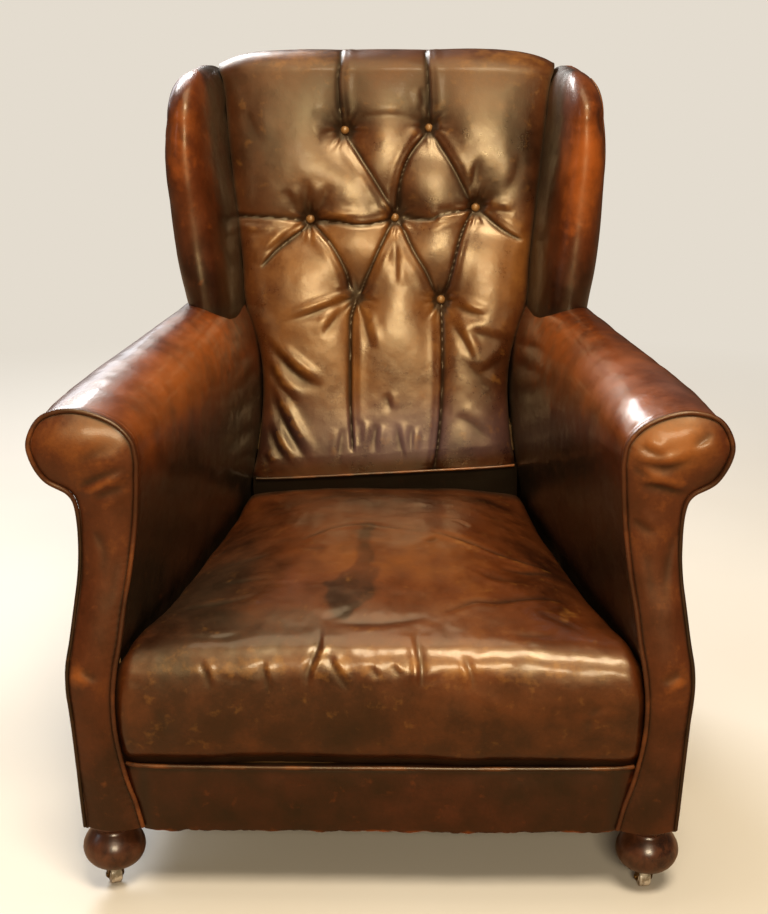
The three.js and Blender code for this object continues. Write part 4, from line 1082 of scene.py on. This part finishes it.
def add_facing(side, s):
    place = np.linspace(0, 1, 1601)
    edge = spline(FACING_EDGE, place)
    tangent = np.gradient(edge, axis=0)
    tangent /= np.linalg.norm(tangent, axis=1, keepdims=True)
    tuck = 2.8 - 0.8 * ease((place - 0.6) / 0.1)[:, None]
    inset = edge + tuck * np.stack([tangent[:, 1], -tangent[:, 0]], axis=1)
    rows, columns = 210, 46
    rungs = np.array(FACING_RUNGS, float) / (len(FACING_EDGE) - 1)
    fine = np.linspace(0, len(rungs) - 1, 900)
    ends = at_places(fine, np.arange(len(rungs)), rungs).T
    lines = [at_places(end, place, inset) for end in ends]
    travel = run_along((lines[0] + lines[1]) / 2) + 0.35 * run_along(lines[0])
    where = np.interp(np.linspace(0, travel[-1], rows), travel, fine)
    inner, outer = (at_places(where, fine, line) for line in lines)
    w = 0.25 * (1 - np.cos(np.linspace(0, math.pi, columns))) + 0.5 * np.linspace(0, 1, columns)
    flat = inner[:, None] + (outer - inner)[:, None] * w[None, :, None]
    a, z = flat[..., 0], np.maximum(flat[..., 1], BASE_Z + 0.5)
    relief = Relief(a, z)
    width = np.linalg.norm(outer - inner, axis=1)[:, None]
    puff = (1 - np.abs(2 * w - 1) ** 2.1)[None, :] * np.clip(width / 60, 0.25, 1.1)
    puff = puff * (1 - 0.85 * hump(np.arange(rows), rows - 1, 9.0))[:, None]
    base = np.stack([s * a, graded(FACING_FRONT, z) + 5 - 8.0 * puff, z], axis=2)
    seed = 51 if s < 0 else 61
    relief.rough((0.8, 60, seed), (0.2, 19, seed + 2))
    to_edge = np.minimum(w, 1 - w)[None, :] * width
    along = where[:, None] * 9.0
    gather = np.sin(along * 5 + 3 * wander(along, 6, seed + 4)) * hump(to_edge, 0, 9)
    relief.height += 0.3 * gather * np.clip(noise(along, w[None, :] * 20, 9, seed + 5) + 0.5, 0, 1)
    relief.folds(FACING_FOLDS[side], (0.3, 0.45), 0.0, 0.25)
    relief.shade_and_age(4, 0.25, 0.12)
    relief.add_shade_and_dirt(0.9 * hump(to_edge, 0, 2.4))
    relief.spots(
        "tone", (325, 606, 60, 30, 0.6), (340, 300, 40, 50, 0.15), (330, 150, 60, 90, -0.45),
    )
    relief.spots("worn", (352, 318, 16, 14, 0.5), (320, 560, 30, 14, 0.25))
    under = base.copy()
    under[..., 1] = FACING_REAR_Y
    grid = relief.lift(base, outward(base, 1, -1))
    solid = f"arm_facing_{side}"
    piece = skin_piece(f"facing_{side}", grid, relief, under, "facing_leather", solid)

    line = spline(FACING_EDGE, even_shares(FACING_EDGE, 330))
    share = np.linspace(0, 1, len(line))
    run = share * 900
    outer_run = ease((share - 0.6) / 0.1)
    depth = graded(FACING_FRONT, line[:, 1]) + 4.2 + 0.35 * wander(run, 60, seed + 8)
    path = np.stack([s * line[:, 0], depth, np.maximum(line[:, 1], BASE_Z + 2.6)], axis=1)
    radius = 2.9 - 0.5 * outer_run + 0.12 * wander(run, 12, seed + 9)
    rubbed = np.clip(0.05 + 0.3 * wander(run, 45, seed + 10), 0, 1)
    fields = {"tone": -0.1 - 0.7 * outer_run, "worn": rubbed * (1 - outer_run)}
    piping(f"facing_piping_{side}", path, radius, 12, fields, f"facing_welt_{side}")


# Wings: folds and worn or lighter spots are placed by the run round the section from its
# front and by the height.
WING_MARKS = {
    "left": (
        [
            ([(18, 905), (30, 880), (26, 850)], 0.9, 7, 0.5, 1),
            ([(-60, 620), (-20, 612), (10, 618)], 1.0, 6, 0.6, 1),
        ],
        [(12, 870, 26, 60, 0.35)],
        (6, 850, 50, 70, 0.35),
    ),
    "right": (
        [
            ([(30, 925), (24, 900), (34, 878)], 1.5, 6, 0.8, 1),
            ([(-50, 622), (-10, 612), (20, 618)], 1.0, 6, 0.6, 1),
        ],
        [(0, 852, 34, 56, 0.5), (-8, 775, 20, 26, 0.35)],
        (-4, 850, 48, 80, 0.55),
    ),
}
WING_UPRIGHT_ROWS = 92
# The row whose front cell tells which way the wing's normals point.
WING_FRONT_ROW = 60


def wing_ring(side, z):
    """Closed section of a wing below its dome, round the front from the inner rear corner."""
    z = min(z, DOME_FOOT)
    outer = graded(WING_OUTER, z) + WING_FLARE[side] * min(1.0, max(0.0, (820 - z) / 230))
    front = graded(WING_FRONT, z)
    inner = graded(BACK_HALF_WIDTH, z) + 0.4
    start = inside_back_y(z)
    rear = outside_back_y(z) - 6
    keys = [(0, rear), (0, start + 60), (0, start + 14)]
    keys += [(share, start + (front - start) * proud) for share, proud in WING_SECTION]
    keys += [(0.975, front + 86), (0.92, front + 115), (0.8, rear - 40), (0.72, rear), (0, rear)]
    return np.array([(inner + (outer - inner) * share, y) for share, y in keys])


def domed(points, rise):
    """Points of the section at the dome's foot, drawn in and lifted; rise is in 0 to pi / 2."""
    size = math.cos(rise) ** (2 / DOME_POWER)
    z = DOME_FOOT + (DOME_TOP - DOME_FOOT) * math.sin(rise) ** (2 / DOME_POWER)
    draw = np.where(points[:, 1] > DOME_PLACE[1], size**0.35, size)
    drawn = DOME_PLACE + (points - DOME_PLACE) * np.column_stack([np.full(len(points), size), draw])
    return np.column_stack([drawn, np.full(len(drawn), z)])


def add_wing(side, s):
    columns = 156
    rings = []
    for z in np.linspace(WING_FOOT, DOME_FOOT, WING_UPRIGHT_ROWS):
        keys = wing_ring(side, z)
        a, y = spline(keys, even_shares(keys, columns)).T
        rings.append(np.stack([a + 8 * ease((634 - z) / 38), y, np.full(columns, z)], axis=1))
    section = rings[-1][:, :2]
    rings += [domed(section, rise) for rise in np.linspace(0, 1.5695, 40)[1:]]
    plain = np.array(rings)
    base = plain * (s, 1, 1)
    arc = np.cumsum(np.linalg.norm(np.diff(plain, axis=1, prepend=plain[:, :1]), axis=2), axis=1)
    front_cell = np.argmin(plain[..., 1], axis=1)
    arc = arc - arc[np.arange(len(plain)), front_cell][:, None]
    arc[WING_UPRIGHT_ROWS:] = arc[WING_UPRIGHT_ROWS - 1]
    height = plain[..., 2]
    relief = Relief(arc, height)
    seed = 71 if s < 0 else 81
    relief.rough((1.3, 95, seed), (0.4, 30, seed + 2), (0.14, 11, seed + 4))
    folds, worn, lighter = WING_MARKS[side]
    relief.spots("worn", *worn)
    relief.spots("tone", lighter)
    relief.folds(folds, (0.3, 0.3), 0.2, 0.3)
    relief.tone -= 0.45 * ease((760 - height) / 120)
    # The inner face is darkened as painted shade.
    relief.tone -= 0.5 * ease((-arc - 45) / 40)
    relief.add_shade_and_dirt(0.35 * ease((-arc - 50) / 40))
    rim = np.minimum(np.arange(columns), np.arange(columns)[::-1])
    to_top = np.arange(len(plain))[::-1, None]
    relief.height *= np.clip(rim / 8, 0, 1) * np.clip(to_top / 16, 0, 1)
    relief.shade_and_age(4)
    # Painted shade in the crevice behind, where the wing meets the back, and at its foot, where it
    # sits on the arm.
    behind = ease((plain[..., 1] - inside_back_y(height) + 22) / 22) * (arc < 0)
    relief.add_shade_and_dirt(0.9 * behind)
    relief.add_shade_and_dirt(0.8 * ease((ARM_TOP_Z + 16 - height) / 20))
    grid = relief.lift(base, outward(base, 1, -1, (WING_FRONT_ROW, front_cell[WING_FRONT_ROW])))
    inward = np.zeros_like(grid)
    inward[..., 2] = -1.0
    core = (s * 262, 620.0, 700.0)
    solid = f"wing_pad_{side}"
    piece = pad_piece(f"wing_{side}", grid, relief, inward, core, "wing_leather", solid)

    heights = np.linspace(606, 1000, 130)
    path = []
    for z in heights:
        keys = wing_ring(side, z)
        point = spline(keys, [(len(WING_SECTION) + 2.3) / (len(keys) - 1)]) + (0.9, 0)
        a, y, top = domed(point, max(0.0, (z - DOME_FOOT) / 100))[0]
        path.append((s * a, y, min(z, top) if z > DOME_FOOT else z))
    radius = 0.9 + 1.1 * ease((heights[-1] - heights) / 40)
    fields = {"tone": -0.1 + 0 * heights, "worn": 0.3 + 0.3 * wander(heights, 30, seed)}
    piping(f"wing_piping_{side}", path, radius, 8, fields)


# Border, bands, welts and the outside panels.
def add_border():
    u = np.linspace(-1, 1, 180)[None, :]
    height = np.linspace(BASE_Z, BORDER_TOP_Z, 34)[:, None]
    inner_edge = [(z, a) for a, z in FACING_EDGE[:7]]
    x = u * (graded(inner_edge, height) - 1.2)
    z = height + 0 * x
    bulge = np.sin((z - BASE_Z) / (BORDER_TOP_Z - BASE_Z) * math.pi) ** 0.6
    y = 4.5 - 2.4 * (1 - np.abs(u) ** 4) - 2.6 * bulge + 5 * np.abs(u) ** 30
    base = np.stack([x, y, z], axis=2)
    relief = Relief(x, z)
    relief.height += 0.7 * hills(x, z * 2, 70, 91) + 0.25 * hills(x, z, 22, 93)
    base[0, :, 2] += (1.4 * wander(x, 18, 95) + 0.8 * wander(x, 5, 96))[0]
    relief.shade_and_age(3, 0.25, 0.12)
    relief.rub_hem(0.7, 2.4, 26, 97, 0.55)
    relief.add_shade_and_dirt(0.85 * hump(z, 190, 3.5))
    relief.add_shade_and_dirt(0.8 * hump(np.abs(x), 286, 8))
    relief.tone -= 0.6
    grid = relief.lift(base, outward(base, 1, -1))
    under = base.copy()
    under[..., 1] = BORDER_REAR_Y
    skin_piece("seat_border", grid, relief, under, "leather", "front_border")

    u = np.linspace(-1, 1, 150)
    run = (u + 1) * 300
    depth = 1.6 - 2.2 * (1 - u * u) + 6 * np.abs(u) ** 24
    path = np.stack([u * 306, depth, WELT_Z + 0.5 * wander(run, 80, 98)], axis=1)
    fields = {"tone": -0.45 + 0 * u, "worn": np.clip(0.1 + 0.35 * wander(run, 40, 99), 0, 1)}
    piping("seat_piping", path, 2.7, 10, fields, "seat_welt")


def add_lower_band():
    foot = 342
    u = np.linspace(-1, 1, 120)[None, :]
    share = np.linspace(0, 1, 16)[:, None]
    x = u * 197 + 0 * share
    z = foot + (back_foot_z(x) - 0.5 - foot) * share
    y = inside_back_y(z) + 4.5 + 6 * np.abs(u) ** 10 + 6 * (1 - share)
    base = np.stack([x, y, z], axis=2)
    relief = Relief(x, z)
    relief.height += 0.6 * hills(x, z * 3, 60, 101)
    # The band is painted as shade: laid with the deepest colour, darkened and given a dark matt
    # leather, as it sits deep above the seat.
    relief.shade_and_dirt += 0.8 + 0.2 * np.abs(u) ** 6 + 0.15 * (1 - share)
    relief.tone -= 0.5
    grid = relief.lift(base, outward(base, 1, -1))
    skin_piece("back_band", grid, relief, base + (0, 5.0, 0), "shaded_leather", "lower_back_band")

    share = np.linspace(0, 1, 120)
    x = -192 + 384 * share
    z = back_foot_z(x) - 1.2
    path = np.stack([x, inside_back_y(z) + 0.6 + 5 * np.abs(x / 192) ** 8, z], axis=1)
    worn = np.clip(0.35 * share + 0.3 * wander(x, 30, 103), 0, 1)
    piping("back_foot_piping", path, 2.0, 8, {"tone": -0.5 + 0.5 * share, "worn": worn})


def add_outside_arm(side, s):
    front = np.array(OUTSIDE_FRONT, float)
    rear = np.array(OUTSIDE_REAR, float)
    count = np.arange(len(front))
    level = (front[:, 0] - front[0, 0]) / (front[-1, 0] - front[0, 0])
    place = np.interp(np.linspace(0, 1, 90), level, count)
    front_line, rear_line = (at_places(place, count, table)[:, None] for table in (front, rear))
    run = np.linspace(0, 1, 130)[None, :]
    z, a = np.moveaxis(front_line + (rear_line - front_line) * run[..., None], 2, 0)
    start = graded(FACING_FRONT, z) + 4.5
    y = start + (outside_back_y(z) - 4 - start) * run
    base = np.stack([s * blur(a, 3), y, z], axis=2)
    relief = Relief(y, z)
    seed = 111 if s < 0 else 121
    relief.rough((1.0, 120, seed), (0.35, 34, seed + 2))
    relief.shade_and_age(4)
    relief.add_shade_and_dirt(0.75 * hump(run * 600, 600, 7))
    relief.add_shade_and_dirt(0.7 * hump(run * 600, 0, 6))
    relief.rub_hem(0.5, 3.0, 30, seed + 4, 0.4)
    relief.tone -= 0.15
    normals = outward(base, 0, s)
    grid, solid = relief.lift(base, normals), f"outside_arm_{side}"
    skin_piece(f"side_panel_{side}", grid, relief, base - normals * 3, "leather", solid)


def add_outside_back():
    rows, columns = 150, 110
    top = OUTSIDE_BACK[-1][0]
    u = np.linspace(-1, 1, columns)[None, :]
    height = np.linspace(BASE_Z, top, rows)[:, None]
    x = u * graded(OUTSIDE_BACK, height)
    lift = 20 * (1 - u**4) * ease((height - 860) / 88)
    lift -= 16 * u**10 * ease((height - 870) / 78)
    z = height + lift
    bulge = 2 * (1 - u**2) * np.sin((z - BASE_Z) / (970 - BASE_Z) * math.pi)
    y = outside_back_y(z) - 1.5 + bulge
    y = y - 30 * ease((z - 893) / 55) * ease((np.abs(x) - 208) / 45)
    base = np.stack([x, y, z], axis=2)
    relief = Relief(x, z)
    relief.rough((0.9, 150, 131), (0.35, 40, 133))
    for k in range(7):
        at = -190 + 63 * k
        points = [(at, 962), (at * 0.97, 935), (at * 0.95, 900)]
        relief.fold(points, 0.7, 8, 0.4, 1, (0.1, 0.6), 0.1, 0.2)
    relief.shade_and_age(4)
    edge = np.minimum((1 - np.abs(u)) * 280, (1 - ease((height - 900) / 60)) * 90 + 2)
    relief.add_shade_and_dirt(0.7 * hump(edge, 0, 6))
    relief.rub_hem(0.5, 3.0, 30, 135, 0.4)
    relief.tone -= 0.1
    normals = outward(base, 1, 1)
    grid = relief.lift(base, normals)
    skin_piece("rear_panel", grid, relief, base - normals * 3, "leather", "outside_back")

    left, right = grid[:-8:3, 0], grid[-9::-3, -1]
    corners = np.vstack([left, grid[-1, 8:-7:3], right])
    path = spline(corners, even_shares(corners, 420))
    path[:, 1] -= 0.6
    along = np.linspace(0, 2300, len(path))
    fields = {"tone": 0 * along, "worn": np.clip(0.25 + 0.4 * wander(along, 60, 137), 0, 1)}
    piping("rear_piping", path, 2.6, 8, fields)


def add_dust_cloth():
    share = np.linspace(0, 1, 60)[:, None]
    u = np.linspace(-1, 1, 60)[None, :]
    x = u * (352 - 70 * share)
    y = 24 + 658 * share + 0 * u
    slack = (1 - u**2) * np.sin(share * math.pi)
    z = BASE_Z + 0.3 + slack * (0.5 * hills(x, y, 70, 141) - 5.5)
    base = np.stack([x, y, z], axis=2)
    relief = Relief(x, y)
    under = base + (0, 0, 0.8)
    piece = skin_piece("dust_cloth", base, relief, under, "dust_cloth", "dust_cover")


# Feet and castors: profiles are rows of (radius, height), and the horn's ear of (y, height).
# The bun is rounded between the two counted rows.
BUN = [
    (0, 58), (4.6, 58), (4.6, 33), (16, 33), (18.5, 33.4), (25, 36.2), (31.5, 41), (36.4, 48),
    (38.7, 55.5), (38.9, 60), (37.6, 67), (34.2, 74), (29.6, 80.5), (25.6, 85.2), (24.6, 87.6),
    (25.4, 89.6), (27.6, 91.2), (29.2, 93.4), (29.8, 96.2), (29.2, 99.4), (28.8, 101.0),
    (29.5, 102.4), (29.4, 104), (9, 104), (9, 128), (0, 128),
]
SMOOTH_FROM, SMOOTH_TO = 4, 14
PLATE = [(4.6, 30.9), (15, 30.9), (15.8, 31.3), (15.8, 32.1), (15.2, 32.6), (4.6, 32.6), (4.6, 30.9)]
CROWN = [
    (0, 27.4), (8.6, 27.4), (10.4, 27.9), (11.2, 29.0), (10.6, 30.1), (7.0, 30.5), (4, 30.6),
    (4, 53.4), (3.4, 54), (0, 54),
]
AXLE = [
    (0, -11.4), (2.6, -11.4), (3.4, -10.9), (3.4, -10.2), (2, -10.1), (2, 10.1), (3.4, 10.2),
    (3.4, 10.9), (2.6, 11.4), (0, 11.4),
]
WHEEL = [
    (2.5, -7.4), (4.6, -7.5), (5.4, -6.9), (8.6, -6.7), (10.6, -7.0), (11.6, -6.2), (12.0, -4.6),
    (12.0, 0), (12.0, 4.6), (11.6, 6.2), (10.6, 7.0), (8.6, 6.7), (5.4, 6.9), (4.6, 7.5),
    (2.5, 7.4), (2.5, -7.4),
]
HORN_EAR = [(-6, 29.4), (7, 29.4), (12.5, 16), (12.5, 10), (10, 7.6), (6, 7.6), (3.5, 10), (1, 18)]


def ear_mesh(x0, x1):
    """A flat cheek of the castor's horn with softened edges."""
    work = bmesh.new()
    lower, upper = ([work.verts.new((x, y, z)) for y, z in HORN_EAR] for x in (x0, x1))
    work.faces.new(lower[::-1])
    work.faces.new(upper)
    for k in range(len(lower)):
        n = (k + 1) % len(lower)
        work.faces.new((lower[k], lower[n], upper[n], upper[k]))
    edges = list(work.edges)
    bmesh.ops.bevel(work, geom=edges, offset=0.45, segments=2, profile=0.6, affect="EDGES")
    work.verts.index_update()
    points = np.array([tuple(v.co) for v in work.verts])
    faces = [[v.index for v in face.verts] for face in work.faces]
    work.free()
    return points, faces


def on_axle(profile, sides):
    """A turned shape laid level along the wheel's axle."""
    points, faces = turned_mesh(profile, sides)
    return points[:, [2, 0, 1]] + (0, CASTOR_TRAIL, WHEEL_RADIUS), faces


def joined(parts):
    points, faces, start = [], [], 0
    for part_points, part_faces in parts:
        points.append(part_points)
        faces += [[i + start for i in face] for face in part_faces]
        start += len(part_points)
    return np.vstack(points), faces


def add_foot(name, x, y, turn):
    """A bun foot and its castor, whose horn and wheel ride on bodies of their own."""
    round_part = spline(BUN[SMOOTH_FROM:SMOOTH_TO], np.linspace(0, 1, 30))
    bun = [*BUN[:SMOOTH_FROM], *round_part, *BUN[SMOOTH_TO:]]
    ears = [ear_mesh(8.2, 10.0), ear_mesh(-10.0, -8.2)]
    horn = joined([turned_mesh(CROWN, 40), on_axle(AXLE, 24), *ears])
    parts = [
        ("bun", turned_mesh(bun, 64), "foot_wood", BODY, "bun_foot", 40),
        ("plate", turned_mesh(PLATE, 48), "castor_brass", BODY, "castor_plate", 40),
        ("horn", horn, "castor_brass", f"swivel_{name}", "castor_horn", 40),
        ("wheel", on_axle(WHEEL, 56), "castor_wheel", f"wheel_{name}", "castor_wheel", 35),
    ]
    c, s = math.cos(math.radians(turn)), math.sin(math.radians(turn))
    spin = np.array([[c, s, 0], [-s, c, 0], [0, 0, 1]])
    for kind, (points, faces), look, body, solid, sharp in parts:
        if body != BODY:
            points = points @ spin
        replaces = [f"{solid}_{name}"]
        points = points + (x, y, 0)
        make_piece(f"{kind}_{name}", points, faces, look, body, None, replaces, sharp)


# Looks for the solids that stay as they are, inside the upholstery.
def dress_solids():
    for name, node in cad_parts.items():
        if node.hide_render:
            continue
        woven = name.startswith(("seat_springs", "spring_hessian", "back_webbing"))
        node.data.materials.clear()
        node.data.materials.append(LOOKS["jute" if woven else "frame_wood"])


# Camera, floor and lamps.
def place_camera():
    lens = bpy.data.cameras.new("camera")
    lens.sensor_fit = "VERTICAL"
    lens.sensor_height = 36.0
    lens.sensor_width = 36.0
    lens.lens = 63.02
    lens.clip_end = 60.0
    camera = bpy.data.objects.new("camera", lens)
    camera.location = (0.0266, -1.710 - MID_Y * MM, 1.1516)
    camera.rotation_euler = (math.radians(90 - 18.26), 0.0, math.radians(0.716))
    bpy.context.scene.collection.objects.link(camera)
    bpy.context.scene.camera = camera


# Each lamp: name, place, target, size, power and colour.
WARM = (1.0, 0.84, 0.62)
LAMPS = [
    ("ceiling in front", (0.5, -2.2, 3.5), (0, 0, 0.65), (1.3, 0.9), 140, WARM),
    ("behind camera", (0.3, -4.0, 2.1), (0, 0, 0.6), (1.2, 0.6), 92, (1.0, 0.82, 0.56)),
    ("overhead", (-0.2, -0.1, 3.2), (0, 0, 0.5), (1.6, 1.4), 30, WARM),
    ("high window", (-1.2, 2.2, 2.33), (0, -0.1, 0.7), (1.45, 0.85), 88, (0.88, 0.93, 1.0)),
    ("window behind", (-1.35, 2.7, 1.25), (0, 0, 0.6), (0.9, 0.6), 5, (0.84, 0.9, 1.0)),
    ("window left", (-2.8, -0.8, 1.7), (0, 0, 0.6), (0.6, 1.0), 4, (0.9, 0.94, 1.0)),
]


def add_lamp(name, place, target, size, power, colour):
    data = bpy.data.lights.new(name, "AREA")
    data.shape = "RECTANGLE"
    data.size, data.size_y = size
    data.energy = power
    data.color = colour
    lamp = bpy.data.objects.new(name, data)
    lamp.location = place
    away = np.array(place) - np.array(target)
    flat = math.hypot(away[0], away[1])
    lamp.rotation_euler = (math.atan2(flat, away[2]), 0, math.atan2(away[0], -away[1]))
    lamp.visible_camera = False
    bpy.context.scene.collection.objects.link(lamp)


def add_floor(pale):
    """A pale floor that keeps the chair's shadow and fades, seen from afar, into the backdrop."""
    bpy.ops.mesh.primitive_plane_add(size=120, location=(0, 0, 0))
    floor = bpy.context.object
    floor.name = "floor"
    look = Look("pale floor", Roughness=0.8)
    look.finish(look.ramp(look.noise(1.2), (0.3, linear("d8d2c8")), (0.7, linear("dedad2"))))
    direct = look.node("LightPath").outputs["Is Camera Ray"]
    far = look.node("VectorMath", {0: look.place}, operation="LENGTH").outputs["Value"]
    share = look.math("MULTIPLY", look.spread(far, 0.9, 2.6), direct)
    glow = look.node("Emission", {"Color": pale, "Strength": 1.0}).outputs[0]
    blend = look.node("MixShader", {0: share, 1: look.shader.outputs[0], 2: glow}).outputs[0]
    dim = look.node("BsdfDiffuse", {"Color": (0.36, 0.24, 0.15, 1)}).outputs[0]
    blend = look.node("MixShader", {0: direct, 1: dim, 2: blend}).outputs[0]
    connect(look.tree, look.tree.nodes["Material Output"].inputs["Surface"], blend)
    floor.data.materials.append(look.material)


def add_world(pale):
    """A dim warm surrounding that the camera sees as the pale backdrop."""
    world = bpy.data.worlds.new("studio")
    bpy.context.scene.world = world
    world.use_nodes = True
    tree = world.node_tree
    back = tree.nodes["Background"]
    back.inputs["Color"].default_value = (0.9, 0.68, 0.48, 1)
    back.inputs["Strength"].default_value = 0.1
    seen = add_node(tree, "Background", {"Color": pale, "Strength": 1.0})
    rays = add_node(tree, "LightPath").outputs
    rays = {0: rays["Is Camera Ray"], 1: rays["Is Transmission Ray"]}
    either = add_node(tree, "Math", rays, operation="MAXIMUM").outputs[0]
    choose = add_node(tree, "MixShader", {0: either, 1: back.outputs[0], 2: seen.outputs[0]})
    connect(tree, tree.nodes["World Output"].inputs["Surface"], choose.outputs[0])


place_camera()
add_buttons(*add_inside_back())
add_seat()
for side, s in (("left", -1), ("right", 1)):
    add_arm(side, s)
    add_facing(side, s)
    add_wing(side, s)
    add_outside_arm(side, s)
add_border()
add_lower_band()
add_outside_back()
add_dust_cloth()
for name, (x, y, turn) in FEET.items():
    add_foot(name, x, y, turn)
dress_solids()
backdrop = linear("e4dccf")
add_floor(backdrop)
add_world(backdrop)
for row in LAMPS:
    add_lamp(*row)

bpy.context.scene.view_settings.view_transform = "Standard"
